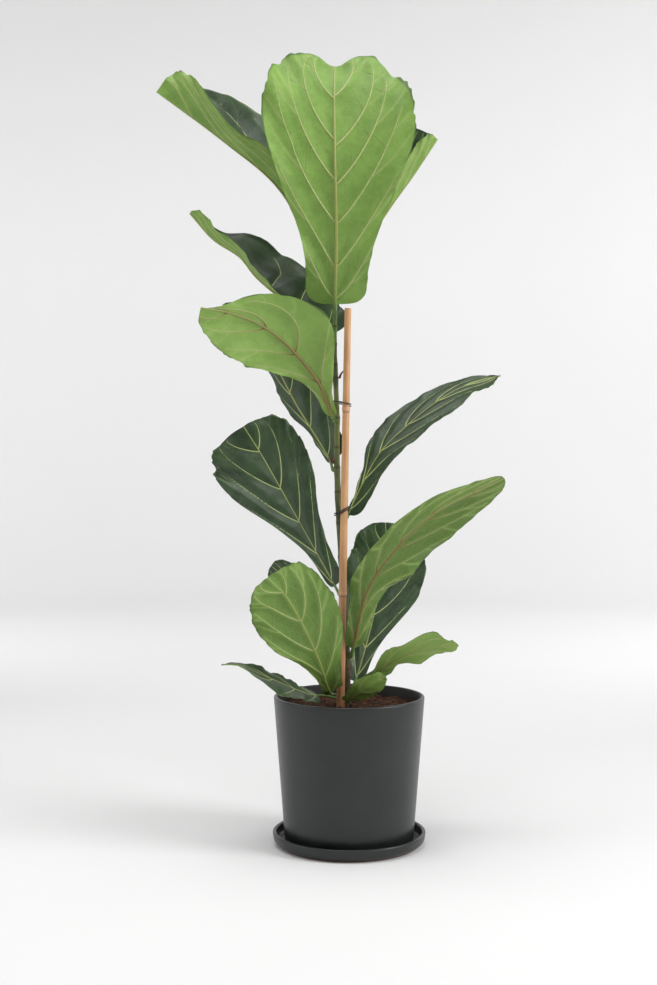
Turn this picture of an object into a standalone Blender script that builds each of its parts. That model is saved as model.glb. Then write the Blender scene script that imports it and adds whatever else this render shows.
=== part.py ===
"""A potted fiddle leaf fig: fifteen leaves on one stem, tied to a bamboo stake, in a charcoal pot and saucer.

Metres, +Z up. The origin is the centre of the saucer's underside, and the front of the plant is -Y.
"""

import bmesh
import bpy
import numpy as np
from mathutils import Vector

# Sizes that drive the part.
CLEARANCE = 0.0003  # between pieces that touch on the real plant
POT_HEIGHT = 0.210
RIM_RADIUS = 0.110
POT_FOOT_RADIUS = 0.0935
POT_WALL = 0.0065
POT_FLOOR = 0.009
DRAIN_RADIUS = 0.010
SAUCER_FLOOR = 0.0052
SAUCER_HEIGHT = 0.0192
SAUCER_WALL = 0.0058
SAUCER_GAP = 0.0122  # the open ring between the pot's foot and the saucer's lip
SOIL_BELOW_RIM = 0.013
STEM_FOOT_RADIUS = 0.0065
STEM_TOP_RADIUS = 0.0030
STEM_LENGTH = 0.6025  # above the soil
STAKE_RADIUS = 0.0054
STAKE_LENGTH = 0.5735  # above the soil
WIRE_RADIUS = 0.0009
LEAF_THICKNESS = 0.0012
STALK_RADIUS = 0.0021
PLANT_SCALE = 1.0  # of the plant and its stake, but for how thick they are

POT_BASE = SAUCER_FLOOR + CLEARANCE
POT_TOP = POT_BASE + POT_HEIGHT
SOIL_TOP = POT_TOP - SOIL_BELOW_RIM
SOIL_BASE = POT_BASE + POT_FLOOR + CLEARANCE
SAUCER_RADIUS = POT_FOOT_RADIUS + SAUCER_GAP + SAUCER_WALL

# Every height on the plant and its stake is measured up from the soil, before PLANT_SCALE.
ROOT_DEPTH = 0.100  # how far the stem and the stake go into the soil

# The stem's centre line: x at each height. It stands a little behind the stake.
STEM_Y = 0.006
STEM_HEIGHTS = (0.0575, 0.1375, 0.2175, 0.2975, 0.3575, 0.4175, 0.5175, 0.6975)
STEM_X = (-0.004, -0.006, -0.011, -0.016, -0.018, -0.0175, -0.0215, -0.019)

# The stake leans to the right: x at the soil and at its top.
STAKE_X = (-0.0125, -0.0020)
STAKE_Y = -0.0085
STAKE_JOINTS = (0.1625, 0.4285)  # heights of the cane's joints

# How far to the left of the stem a stalk passes in order to clear the stake's foot.
PAST_STAKE = STAKE_X[0] - STEM_X[0] - (STAKE_RADIUS * 1.1 + STALK_RADIUS + 0.003) / PLANT_SCALE

# Wire ties: the height at the stem, the turns round both, the climb at each turn, and the slope to the right.
TIES = {"tie_upper": (0.4375, 1.25, 0.003, -0.25), "tie_lower": (0.2755, 2.1, 0.0028, 0.45)}

# Dry leaf scales: the height, and the angle round the stem, where the right is 0 and the front -pi / 2.
SCALES = {
    "scale_high": (0.5135, -2.2),
    "scale_middle": (0.4735, -0.2),
    "scale_low": (0.3495, -2.6),
}
SCALE_RADIUS = 0.0017
SCALE_LENGTH = 0.013
SCALE_SHARES = (0, 0.15, 0.4, 0.7, 1)
SCALE_WIDTHS = (0.7, 1, 0.9, 0.6, 0.15)

STALK_SIDES = 14  # points round a leaf's section
BLADE_LINES = (0.012, 0.035, 0.06, 0.09, 0.16, 0.25, 0.35, 0.45, 0.55, 0.66, 0.76, 0.85, 0.92, 0.97, 1.0)
FRONT = np.array((0.0, -1.0, 0.0))


def unit(vectors):
    """Vectors of length one, along the last axis."""
    return vectors / np.linalg.norm(vectors, axis=-1, keepdims=True)


def smooth(points, share):
    """A Catmull-Rom curve through the points, evenly spaced, read at shares of it from 0 to 1."""
    points = np.asarray(points, float)
    if points.ndim == 1:
        return smooth(points[:, None], share)[..., 0]
    last = len(points) - 1
    line = np.vstack((2 * points[0] - points[1], points, 2 * points[-1] - points[-2]))
    place = np.clip(share, 0, 1) * last
    span = np.minimum(place.astype(int), last - 1)
    f = (place - span)[..., None]
    a, b, c, d = line[span], line[span + 1], line[span + 2], line[span + 3]
    return 0.5 * (2 * b + (c - a) * f + (2 * a - 5 * b + 4 * c - d) * f**2 + (3 * b - a - 3 * c + d) * f**3)


def plant_point(x, y, height):
    """A point of the plant, given from the middle of the soil's surface, in the part's own frame."""
    return Vector((x, y, height)) * PLANT_SCALE + Vector((0, 0, SOIL_TOP))


def stem_centre(height):
    """The stem's centre at a height."""
    return plant_point(np.interp(height, STEM_HEIGHTS, STEM_X), STEM_Y, height)


def stem_radius(height):
    """The stem tapers from the soil to its tip."""
    share = np.clip(height / STEM_LENGTH, 0, 1)
    return STEM_FOOT_RADIUS + (STEM_TOP_RADIUS - STEM_FOOT_RADIUS) * share**0.8


def pot_radius(height):
    """The pot's outer radius, which widens evenly from foot to rim."""
    return POT_FOOT_RADIUS + (RIM_RADIUS - POT_FOOT_RADIUS) * (height - POT_BASE) / POT_HEIGHT


def stake_centre(height):
    """The stake's centre at a height: it is straight."""
    return plant_point(STAKE_X[0] + (STAKE_X[1] - STAKE_X[0]) * height / STAKE_LENGTH, STAKE_Y, height)


def stake_radius(height):
    """The cane tapers upward and swells at its joints."""
    swell = sum(0.0007 * np.exp(-(((height - joint) / 0.004) ** 2)) for joint in STAKE_JOINTS)
    return STAKE_RADIUS * (1.1 - 0.2 * height / STAKE_LENGTH) + swell


def margin(line, neck, belly, blunt, notch, reach):
    """One margin of a flat blade. For cross line 0 (stalk) to 1 (tip): where the line leaves the midrib, and
    where it ends along and across, in shares of the blade's length and of that side's width."""
    lobe = 0.085  # the share of the cross lines that fan round the base
    waist = 0.56  # the cross line that ends at the widest point
    fan = np.clip(line / lobe, 0, 1)
    body = np.clip((line - lobe) / (waist - lobe), 0, 1)
    top = np.clip((line - waist) / (1 - waist), 0, 1) * np.pi / 2
    top_across = np.maximum(np.cos(top), 0) ** blunt
    rise = (1 - np.exp(-((top_across / 0.2) ** 2))) * np.clip((reach - top_across) / 0.24, 0, 1)
    along = np.select(
        (line < lobe, line < waist),
        (
            0.075 * (1 - np.cos(fan * np.pi / 2)) - 0.012 * np.sin(fan * np.pi),
            0.075 + (belly - 0.075) * body,
        ),
        belly + (1 - belly) * np.sin(top) + notch * rise,
    )
    across = np.select(
        (line < lobe, line < waist),
        (
            neck * np.sin(fan * np.pi / 2) ** 0.8,
            neck + (1 - neck) * (0.5 - 0.5 * np.cos(body * np.pi)) ** 1.1,
        ),
        top_across,
    )
    rest = np.clip((line - lobe) / (1 - lobe), 0, 1)
    start = np.where(line < lobe, 0.02 * fan**2, 0.02 + 0.98 * rest**1.12)
    return start, along, across


class Leaf:
    """A blade on a stalk. Lengths are in metres and angles in degrees.

    node: the height at which the stalk leaves the stem.
    midrib: points of the stalk and midrib, measured from the stem's centre at the node. The first gives only
        the side of the stem that the stalk leaves from.
    roll: the way the upper side faces, round the midrib: 0 is the front and 180 the back.
    fold, curl: for the left and the right half, how far it rises from the midrib, and how much more by its
        edge. Left and right are as seen from the upper side with the tip up.
    left, right: the half's width, its neck as a share of that, where along it is widest, and how blunt the
        tip is (less is blunter).
    notch: how far the blade runs past the midrib's tip, and how far out that lobe reaches on the left and on
        the right, as shares of the half's width.
    wave: the height, number and start of the waves of the edge.
    stalk: the share of the length that is stalk.
    """

    def __init__(self, node, midrib, roll, fold, curl, left, right, notch=(0, 1, 1), wave=(0, 0, 0), stalk=0.05):
        self.fold, self.curl, self.left, self.right = fold, curl, left, right
        self.notch, self.wave, self.stalk = notch, wave, stalk
        midrib = np.array(midrib, float) * PLANT_SCALE
        outward = unit(midrib[0] * (1, 1, 0))
        midrib[0] = outward * stem_radius(node)
        slant = 1 - (unit(midrib[1] - midrib[0]) @ outward) ** 2
        midrib[0] += outward * (CLEARANCE + STALK_RADIUS * np.sqrt(slant) * 1.05)
        points = smooth(midrib + stem_centre(node), np.linspace(0, 1, 400))
        length = np.concatenate(((0,), np.cumsum(np.linalg.norm(np.diff(points, axis=0), axis=1))))
        self.length = length[-1]
        self.share = np.linspace(0, 1, 241)
        self.centre = np.stack([np.interp(self.share * self.length, length, points[:, k]) for k in range(3)], 1)
        self.along = unit(np.gradient(self.centre, axis=0))
        front = unit(FRONT - (self.along @ FRONT)[:, None] * self.along)
        turn = np.radians(smooth(roll, self.share))[:, None]
        self.upper = np.cos(turn) * front + np.sin(turn) * np.cross(self.along, front)
        self.side = np.cross(self.along, self.upper)

    def frame(self, along):
        """The midrib's point, upper direction and side direction at shares of the blade's length. Past the
        midrib's ends it runs on straight."""
        place = self.stalk + along * (1 - self.stalk)
        inside = np.clip(place, 0, 1)
        columns = (self.centre, self.along, self.upper, self.side)
        read = [np.stack([np.interp(inside, self.share, c[:, k]) for k in range(3)], -1) for c in columns]
        centre = read[0] + unit(read[1]) * ((place - inside) * self.length)[..., None]
        return centre, unit(read[2]), unit(read[3])

    def point(self, line, across, lift):
        """The blade at cross line 0 to 1 and across -1 (left edge) to 1 (right edge), raised by lift."""
        right = across > 0
        part = np.abs(across)
        left_margin = margin(line, *self.left[1:], *self.notch[:2])
        right_margin = margin(line, *self.right[1:], *self.notch[::2])
        start, end, spread = (np.where(right, r, m) for r, m in zip(right_margin, left_margin))
        width = np.where(right, self.right[0], self.left[0]) * PLANT_SCALE
        # A cross line leaves the midrib steeply and sweeps forward to the margin, as the side veins do.
        along = (1 - part) ** 2 * start + 2 * part * (1 - part) * (start + 0.3 * (end - start)) + part**2 * end
        out = (2 * part * (1 - part) * 0.55 + part**2) * spread * width
        centre, upper, side = self.frame(along)
        share = np.clip(along, 0, 1)
        fold, curl = (
            np.radians(np.where(right, smooth(pair[1], share), smooth(pair[0], share)))
            for pair in (self.fold, self.curl)
        )
        curl = np.where(np.abs(curl) < 0.001, 0.001, curl)
        tilt = fold + curl * out / width
        radius = width / curl
        height, count, begin = self.wave
        wave = height * part**2 * np.sin(2 * np.pi * (count * line + begin)) * np.clip(spread * 1.4, 0, 1)
        sideways = radius * (np.sin(tilt) - np.sin(fold)) - (wave + lift) * np.sin(tilt)
        raised = radius * (np.cos(fold) - np.cos(tilt)) + (wave + lift) * np.cos(tilt)
        return centre + side * (np.where(right, 1, -1) * sideways)[..., None] + upper * raised[..., None]


FLAT = (0, 0, 0, 0)
LEAVES = {
    "leaf_top": Leaf(
        node=0.5695,
        midrib=[(0, -0.01, 0), (0, -0.02, 0.02), (0.002, -0.045, 0.10), (0, -0.065, 0.20), (-0.001, -0.055, 0.29),
                (0, -0.035, 0.345)],
        roll=(180, 180), fold=(FLAT, FLAT), curl=((0, -8, -12, -20), (0, -8, -12, -20)),
        left=(0.114, 0.40, 0.76, 0.72), right=(0.101, 0.42, 0.80, 0.60), notch=(0.058, 0.74, 1.12),
        wave=(0.003, 4, 0.1),
        stalk=0.04,
    ),
    "leaf_high_left": Leaf(
        node=0.5825,
        midrib=[(-0.01, 0.008, 0), (-0.022, 0.015, 0.06), (-0.081, 0.04, 0.172), (-0.163, 0.052, 0.245),
                (-0.265, 0.05, 0.319)],
        roll=(90, 90, 90, 95), fold=((50, 50, 20, 80), (50, 55, 55, 50)), curl=((0, 0, 0, 10), (0, 10, 10, 20)),
        left=(0.052, 0.5, 0.85, 0.3), right=(0.086, 0.3, 0.58, 1.1), wave=(0.004, 2.2, 0.45), stalk=0.12,
    ),
    "leaf_high_right": Leaf(
        node=0.5875,
        midrib=[(0.01, 0.006, 0), (0.026, 0.014, 0.05), (0.076, 0.032, 0.132), (0.117, 0.042, 0.19),
                (0.152, 0.042, 0.242)],
        roll=(-90, -90), fold=((60, 60, 60, 80), (50, 50)), curl=(FLAT, FLAT),
        left=(0.050, 0.3, 0.85, 0.3), right=(0.026, 0.5, 0.8, 0.35), stalk=0.15,
    ),
    "leaf_upper_left": Leaf(
        node=0.5195,
        midrib=[(-0.01, 0.006, 0), (-0.02, 0.015, 0.025), (-0.109, 0.055, 0.102), (-0.142, 0.073, 0.141),
                (-0.183, 0.082, 0.169), (-0.219, 0.088, 0.209)],
        roll=(45, 45, 45, 60), fold=((50, 50, 60, 85), (20, 30, 10, -5)), curl=(FLAT, (0, -20, 0, 0)),
        left=(0.030, 0.5, 0.7, 0.7), right=(0.070, 0.75, 0.26, 1.8), stalk=0.06,
    ),
    "leaf_left_front": Leaf(
        node=0.4125,
        midrib=[(-0.006, -0.009, 0), (-0.012, -0.022, 0.02), (-0.028, -0.039, 0.055), (-0.064, -0.062, 0.097),
                (-0.099, -0.085, 0.125), (-0.141, -0.104, 0.142), (-0.187, -0.118, 0.15)],
        roll=(170, 170), fold=((-30, -5, 0, 0), FLAT), curl=((0, -10, -20, -20), (0, -10, -20, -20)),
        left=(0.070, 0.14, 0.47, 4.2), right=(0.060, 0.18, 0.66, 0.7), wave=(0.003, 4, 0.3), stalk=0.04,
    ),
    "leaf_left_back": Leaf(
        node=0.3405,
        midrib=[(-0.01, 0.003, 0), (-0.015, 0.014, 0.022), (-0.06, 0.044, 0.096), (-0.101, 0.074, 0.169),
                (-0.174, 0.097, 0.252)],
        roll=(-10, -10), fold=((-35, -35, -35, -10), (5, 5)), curl=((-10, -10), (10, 10)),
        left=(0.024, 0.3, 0.5, 1.5), right=(0.060, 0.6, 0.6, 1.5),
    ),
    "leaf_broad_left": Leaf(
        node=0.1595,
        midrib=[(-0.01, 0.003, 0), (-0.024, 0.024, 0.03), (-0.077, 0.078, 0.121), (-0.126, 0.126, 0.204),
                (-0.155, 0.142, 0.249)],
        roll=(0, 0), fold=((10, 10, 5, 0), (10, 10, 5, 0)), curl=((10, 10, -10, -20), (10, 10, -10, -20)),
        left=(0.080, 0.13, 0.85, 0.36), right=(0.066, 0.28, 0.80, 0.6), wave=(0.003, 4, 0.1),
    ),
    "leaf_low_front": Leaf(
        node=0.0105,
        midrib=[(-0.01, 0.001, 0), (PAST_STAKE, -0.007, 0.004), (PAST_STAKE - 0.0065, -0.036, 0.016),
                (-0.044, -0.08, 0.075), (-0.079, -0.118, 0.149), (-0.108, -0.146, 0.185)],
        roll=(180, 180), fold=(FLAT, FLAT), curl=(FLAT, FLAT),
        left=(0.057, 0.38, 0.66, 0.6), right=(0.060, 0.16, 0.68, 0.6), wave=(0.003, 4, 0.1), stalk=0.11,
    ),
    "leaf_low_back": Leaf(
        node=0.0475,
        midrib=[(-0.01, 0.006, 0), (-0.013, 0.026, 0.026), (-0.042, 0.054, 0.07), (-0.085, 0.084, 0.122),
                (-0.114, 0.105, 0.146)],
        roll=(-10, -10), fold=(FLAT, FLAT), curl=(FLAT, FLAT),
        left=(0.030, 0.3, 0.6, 0.7), right=(0.030, 0.12, 0.6, 0.7),
    ),
    "leaf_right_front": Leaf(
        node=0.0695,
        midrib=[(0.01, -0.005, 0), (0.012, -0.022, 0.024), (0.036, -0.062, 0.115), (0.110, -0.118, 0.205),
                (0.209, -0.165, 0.26)],
        roll=(180, 180), fold=((20, 35, 35, 40), (-10, 30, 45, 45)), curl=(FLAT, FLAT),
        left=(0.056, 0.35, 0.46, 1.2), right=(0.034, 0.45, 0.38, 1.3), wave=(0.002, 4, 0.1),
    ),
    "leaf_right_back": Leaf(
        node=0.0195,
        midrib=[(0.01, 0.006, 0), (0.019, 0.016, 0.027), (0.044, 0.056, 0.111), (0.062, 0.093, 0.184),
                (0.062, 0.118, 0.240)],
        roll=(0, 0), fold=(FLAT, FLAT), curl=(FLAT, FLAT),
        left=(0.058, 0.28, 0.66, 0.6), right=(0.062, 0.2, 0.70, 0.8),
    ),
    "leaf_right_upper": Leaf(
        node=0.2595,
        midrib=[(0.01, 0.004, 0), (0.018, 0.016, 0.028), (0.057, 0.050, 0.102), (0.101, 0.075, 0.147),
                (0.150, 0.100, 0.186), (0.196, 0.118, 0.211), (0.250, 0.130, 0.226)],
        roll=(-30, -40, -50, -50), fold=(FLAT, FLAT), curl=(FLAT, FLAT),
        left=(0.038, 0.12, 0.48, 2.0), right=(0.040, 0.60, 0.62, 1.8),
    ),
    "leaf_low_right": Leaf(
        node=0.0095,
        midrib=[(0.01, -0.001, 0), (0.034, -0.011, 0.026), (0.07, -0.032, 0.058), (0.118, -0.060, 0.081),
                (0.156, -0.076, 0.085)],
        roll=(-140, -140), fold=(FLAT, FLAT), curl=(FLAT, FLAT),
        left=(0.024, 0.45, 0.6, 0.9), right=(0.026, 0.45, 0.6, 0.9), wave=(0.004, 3, 0.1), stalk=0.1,
    ),
    "leaf_small_front": Leaf(
        node=0.0035,
        midrib=[(0.006, -0.009, 0), (0.004, -0.028, 0.006), (0.012, -0.038, 0.014), (0.028, -0.05, 0.028),
                (0.054, -0.056, 0.046)],
        roll=(-150, -150), fold=(FLAT, FLAT), curl=(FLAT, FLAT),
        left=(0.022, 0.6, 0.5, 0.9), right=(0.020, 0.6, 0.5, 0.9), stalk=0.22,
    ),
    "leaf_rim_left": Leaf(
        node=0.0055,
        midrib=[(-0.01, 0.007, 0), (-0.03, 0.003, 0.005), (-0.06, -0.024, 0.014), (-0.111, -0.064, 0.042),
                (-0.148, -0.076, 0.06), (-0.175, -0.086, 0.064)],
        roll=(60, 65, 75, 100), fold=(FLAT, FLAT), curl=(FLAT, FLAT),
        left=(0.030, 0.55, 0.45, 0.9), right=(0.020, 0.45, 0.5, 0.9), stalk=0.2,
    ),
}


def material(name, colour, roughness):
    """A plain finish, so that each piece shows its own colour."""
    made = bpy.data.materials.new(name)
    made.use_nodes = True
    shader = made.node_tree.nodes["Principled BSDF"]
    shader.inputs["Base Color"].default_value = (*colour, 1)
    shader.inputs["Roughness"].default_value = roughness
    return made


def finish(name, mesh, look, sharp_angle=40):
    """Turns a bmesh into a named object with its faces outward and its round surfaces smooth."""
    bmesh.ops.recalc_face_normals(mesh, faces=mesh.faces)
    if mesh.calc_volume(signed=True) < 0:
        bmesh.ops.reverse_faces(mesh, faces=mesh.faces)
    data = bpy.data.meshes.new(name)
    mesh.to_mesh(data)
    mesh.free()
    data.shade_smooth()
    data.set_sharp_from_angle(angle=np.radians(sharp_angle))
    data.materials.append(look)
    made = bpy.data.objects.new(name, data)
    bpy.context.scene.collection.objects.link(made)
    return made


def lathe(name, profile, look, closed, steps=48):
    """(radius, height) points turned round the Z axis. A profile that isn't closed starts and ends on the axis."""
    mesh = bmesh.new()
    points = [mesh.verts.new((radius, 0, height)) for radius, height in profile]
    pairs = list(zip(points, points[1:])) + ([(points[-1], points[0])] if closed else [])
    edges = [mesh.edges.new(pair) for pair in pairs]
    bmesh.ops.spin(
        mesh, geom=points + edges, cent=(0, 0, 0), axis=(0, 0, 1), angle=2 * np.pi, steps=steps, use_merge=True
    )
    bmesh.ops.remove_doubles(mesh, verts=mesh.verts, dist=1e-6)
    return finish(name, mesh, look)


def join_rings(mesh, rings):
    """Closes rings of points, each as long as the others, into one skin with flat ends."""
    made = [[mesh.verts.new(point) for point in ring] for ring in rings]
    for near, far in zip(made, made[1:]):
        for k in range(len(near)):
            mesh.faces.new((near[k - 1], near[k], far[k], far[k - 1]))
    mesh.faces.new(made[0])
    mesh.faces.new(made[-1])


def circle(centre, along, radius, sides):
    """A ring of points round a centre, square to a direction."""
    first = along.orthogonal().normalized()
    second = along.cross(first).normalized()
    turns = [2 * np.pi * k / sides for k in range(sides)]
    return [centre + (first * np.cos(turn) + second * np.sin(turn)) * radius for turn in turns]


def tube(name, points, radii, look, sides=10):
    """A round rod that follows the points. Each ring keeps in step with the one before, so it doesn't twist."""
    points = [Vector(point) for point in points]
    spans = [(b - a).normalized() for a, b in zip(points, points[1:])]
    ways = [spans[0]] + [(a + b).normalized() for a, b in zip(spans, spans[1:])] + [spans[-1]]
    spokes = circle(Vector(), ways[0], 1, sides)
    rings = []
    for k, (point, way, radius) in enumerate(zip(points, ways, radii)):
        if k:
            turn = ways[k - 1].rotation_difference(way)
            spokes = [turn @ spoke for spoke in spokes]
        rings.append([point + spoke * radius for spoke in spokes])
    mesh = bmesh.new()
    join_rings(mesh, rings)
    return finish(name, mesh, look)


def bore(target, name, foot, head, radius):
    """Bores a round hole through the target with a hidden cylinder."""
    mesh = bmesh.new()
    way = (head - foot).normalized()
    join_rings(mesh, [circle(end, way, radius, 24) for end in (foot, head)])
    cutter = finish(name, mesh, target.data.materials[0])
    cutter.hide_render = True
    cutter.display_type = "WIRE"
    cut = target.modifiers.new(name, "BOOLEAN")
    cut.object = cutter
    cut.operation = "DIFFERENCE"
    cut.solver = "EXACT"


def leaf_object(name, leaf, look):
    """One leaf: round sections along the stalk, then flat ones along the blade with the midrib as a rib below.

    Every section has the same number of points: the upper side from left to right, then the lower side back."""
    half = STALK_SIDES // 2
    across = np.linspace(-1, 1, half)
    turns = np.pi * (1 - (2 * np.arange(STALK_SIDES) + 1) / STALK_SIDES)
    rings = []
    for share in (0, 0.5, 0.9):
        centre, upper, side = leaf.frame(np.array((share - 1) * leaf.stalk / (1 - leaf.stalk)))
        rings.append([centre + STALK_RADIUS * (np.cos(turn) * side + np.sin(turn) * upper) for turn in turns])
    for line in BLADE_LINES:
        lines = np.full(half, line)
        rib = STALK_RADIUS * (1 - 0.7 * line) * np.exp(-((across / 0.06) ** 2))
        upper_side = leaf.point(lines, across, LEAF_THICKNESS / 2)
        lower_side = leaf.point(lines, across, -LEAF_THICKNESS / 2 - rib)
        rings.append(np.vstack((upper_side, lower_side[::-1])))
    mesh = bmesh.new()
    join_rings(mesh, rings)
    bmesh.ops.remove_doubles(mesh, verts=mesh.verts, dist=1e-5)
    bmesh.ops.triangulate(mesh, faces=mesh.faces)
    return finish(name, mesh, look, 60)


def wire_points(height, turns, climb, slope):
    """A wire wound round the stem and the stake together, as points. It climbs at each turn and slopes up to
    the right."""
    reach = WIRE_RADIUS * 1.15 + CLEARANCE * 2
    posts = (
        (stem_centre(height), stem_radius(height)),
        (stake_centre(height), stake_radius(height)),
    )
    points = []
    for step in range(round(turns * 24) + 1):
        angle = 2 * np.pi * step / 24 - 0.5
        way = Vector((np.cos(angle), np.sin(angle), 0))
        post, radius = max(posts, key=lambda item: item[0].dot(way) + item[1])
        point = post + way * (radius + reach)
        point.z += climb * step / 24 + slope * (point.x - posts[0][0].x)
        points.append(point)
    return points


def scale_points(height, angle):
    """A dry leaf scale that stands against the stem and points up."""
    way = Vector((np.cos(angle), np.sin(angle), 0))
    foot = stem_centre(height) + way * (stem_radius(height) + SCALE_RADIUS + CLEARANCE * 3)
    return [foot + way * (0.006 * share**2) + Vector((0, 0, SCALE_LENGTH * share)) for share in SCALE_SHARES]


for old in list(bpy.data.objects):
    bpy.data.objects.remove(old, do_unlink=True)

clay_look = material("charcoal_clay", (0.05, 0.05, 0.053), 0.55)
soil_look = material("coir_soil", (0.10, 0.035, 0.02), 0.95)
cane_look = material("cane", (0.62, 0.36, 0.17), 0.5)
stem_look = material("bark", (0.06, 0.07, 0.03), 0.7)
wire_look = material("coated_wire", (0.01, 0.01, 0.012), 0.3)
scale_look = material("dry_scale", (0.09, 0.015, 0.015), 0.6)
leaf_look = material("leaf", (0.06, 0.16, 0.04), 0.4)

# The saucer: a flat foot, a rounded lower edge and an upright lip.
saucer_bore = SAUCER_RADIUS - SAUCER_WALL
saucer_profile = (
    (0, 0),
    (SAUCER_RADIUS - 0.0117, 0),
    (SAUCER_RADIUS - 0.0062, 0.0016),
    (SAUCER_RADIUS - 0.0026, 0.0058),
    (SAUCER_RADIUS, SAUCER_HEIGHT - 0.0035),
    (SAUCER_RADIUS - 0.0008, SAUCER_HEIGHT - 0.0010),
    (SAUCER_RADIUS - SAUCER_WALL / 2, SAUCER_HEIGHT),
    (saucer_bore + 0.0008, SAUCER_HEIGHT - 0.0010),
    (saucer_bore, SAUCER_HEIGHT - 0.0035),
    (saucer_bore - 0.0010, SAUCER_FLOOR + 0.0040),
    (saucer_bore - 0.0045, SAUCER_FLOOR),
    (0, SAUCER_FLOOR),
)
lathe("saucer", saucer_profile, clay_look, closed=False)

# The pot: a drained floor, walls that lean out, and a rounded rim.
inner_floor = POT_BASE + POT_FLOOR
pot_profile = (
    (DRAIN_RADIUS, POT_BASE),
    (POT_FOOT_RADIUS - 0.0045, POT_BASE),
    (pot_radius(POT_BASE + 0.0015) - 0.0012, POT_BASE + 0.0015),
    (pot_radius(POT_BASE + 0.006), POT_BASE + 0.006),
    (pot_radius(POT_TOP - 0.0035), POT_TOP - 0.0035),
    (RIM_RADIUS - 0.0009, POT_TOP - 0.0010),
    (RIM_RADIUS - POT_WALL / 2, POT_TOP),
    (RIM_RADIUS - POT_WALL + 0.0009, POT_TOP - 0.0010),
    (pot_radius(POT_TOP - 0.0035) - POT_WALL, POT_TOP - 0.0035),
    (pot_radius(inner_floor + 0.008) - POT_WALL, inner_floor + 0.008),
    (pot_radius(inner_floor) - POT_WALL - 0.0060, inner_floor),
    (DRAIN_RADIUS, inner_floor),
)
lathe("pot", pot_profile, clay_look, closed=True)

# The soil fills the pot to just under the rim, mounded a little toward the stem.
soil_gap = POT_WALL + CLEARANCE
soil_profile = (
    (0, SOIL_BASE),
    (pot_radius(SOIL_BASE) - soil_gap - 0.0065, SOIL_BASE),
    (pot_radius(inner_floor + 0.0085) - soil_gap - 0.0003, inner_floor + 0.0085),
    (pot_radius(SOIL_TOP) - soil_gap - 0.0003, SOIL_TOP - 0.0015),
    (RIM_RADIUS * 0.55, SOIL_TOP - 0.0005),
    (0, SOIL_TOP),
)
soil = lathe("soil", soil_profile, soil_look, closed=False)

over_soil = 0.005
stem_hole = STEM_FOOT_RADIUS + CLEARANCE * 2
stake_hole = stake_radius(-ROOT_DEPTH) + CLEARANCE * 2
root_end = -ROOT_DEPTH - CLEARANCE
bore(soil, "stem_bore", stem_centre(root_end), stem_centre(over_soil), stem_hole)
bore(soil, "stake_bore", stake_centre(root_end), stake_centre(over_soil), stake_hole)

# The stem runs from its root to the bud behind the top leaf.
stem_steps = [-ROOT_DEPTH, 0, *np.linspace(0.03, STEM_LENGTH, 20)]
bud = (STEM_LENGTH + 0.008, STEM_LENGTH + 0.018)
stem_radii = [*map(stem_radius, stem_steps), STEM_TOP_RADIUS * 0.9, STEM_TOP_RADIUS * 0.2]
tube("stem", [*map(stem_centre, stem_steps), *map(stem_centre, bud)], stem_radii, stem_look, sides=12)

# The cane is closer set round its joints, where it swells.
joint_steps = (-0.010, -0.005, -0.002, 0.0, 0.002, 0.005, 0.010)
around_joints = [joint + step for joint in STAKE_JOINTS for step in joint_steps]
stake_steps = sorted([-ROOT_DEPTH, STAKE_LENGTH, *around_joints])
tube("stake", [*map(stake_centre, stake_steps)], [*map(stake_radius, stake_steps)], cane_look, sides=14)

for name, place in TIES.items():
    points = wire_points(*place)
    tube(name, points, [WIRE_RADIUS] * len(points), wire_look, sides=6)

for name, place in SCALES.items():
    radii = [SCALE_RADIUS * width for width in SCALE_WIDTHS]
    tube(name, scale_points(*place), radii, scale_look, sides=6)

for name, leaf in LEAVES.items():
    leaf_object(name, leaf, leaf_look)
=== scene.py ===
# %% [markdown]
# # A potted fiddle leaf fig
# The part is a young fig of fifteen leaves on one stem, tied to a bamboo stake, in a charcoal pot that
# stands in its saucer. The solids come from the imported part. Each one is given a finer body here, and a
# finish that is worked out by the shader from the surface itself. Metres throughout, +Z up, front at -Y.

from random import Random

import bmesh
import bpy
import numpy as np
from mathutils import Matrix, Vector, kdtree, noise


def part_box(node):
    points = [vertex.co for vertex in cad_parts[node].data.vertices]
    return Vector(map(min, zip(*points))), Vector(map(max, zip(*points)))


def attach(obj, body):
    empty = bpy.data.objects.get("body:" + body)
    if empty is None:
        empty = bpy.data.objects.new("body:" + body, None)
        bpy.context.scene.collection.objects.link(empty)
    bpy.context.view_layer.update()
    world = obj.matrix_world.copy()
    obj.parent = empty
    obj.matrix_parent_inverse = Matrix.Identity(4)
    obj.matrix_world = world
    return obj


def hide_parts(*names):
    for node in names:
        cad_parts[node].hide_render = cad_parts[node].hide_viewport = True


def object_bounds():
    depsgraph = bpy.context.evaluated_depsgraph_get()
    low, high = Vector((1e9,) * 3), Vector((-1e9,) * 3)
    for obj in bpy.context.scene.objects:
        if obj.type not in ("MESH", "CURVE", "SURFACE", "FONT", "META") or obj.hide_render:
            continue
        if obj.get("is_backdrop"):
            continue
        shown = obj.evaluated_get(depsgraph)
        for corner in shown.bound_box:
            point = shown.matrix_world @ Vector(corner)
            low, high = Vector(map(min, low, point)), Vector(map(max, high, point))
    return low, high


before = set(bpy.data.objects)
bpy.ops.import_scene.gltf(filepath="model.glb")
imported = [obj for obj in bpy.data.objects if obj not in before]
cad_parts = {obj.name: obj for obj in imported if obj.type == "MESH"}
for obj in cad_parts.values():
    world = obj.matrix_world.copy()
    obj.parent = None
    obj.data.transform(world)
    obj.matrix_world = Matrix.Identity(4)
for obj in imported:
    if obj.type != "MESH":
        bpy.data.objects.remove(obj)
scene = bpy.context.scene
cad_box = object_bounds()
sides = [round(side, 3) for side in cad_box[1] - cad_box[0]]
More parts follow.
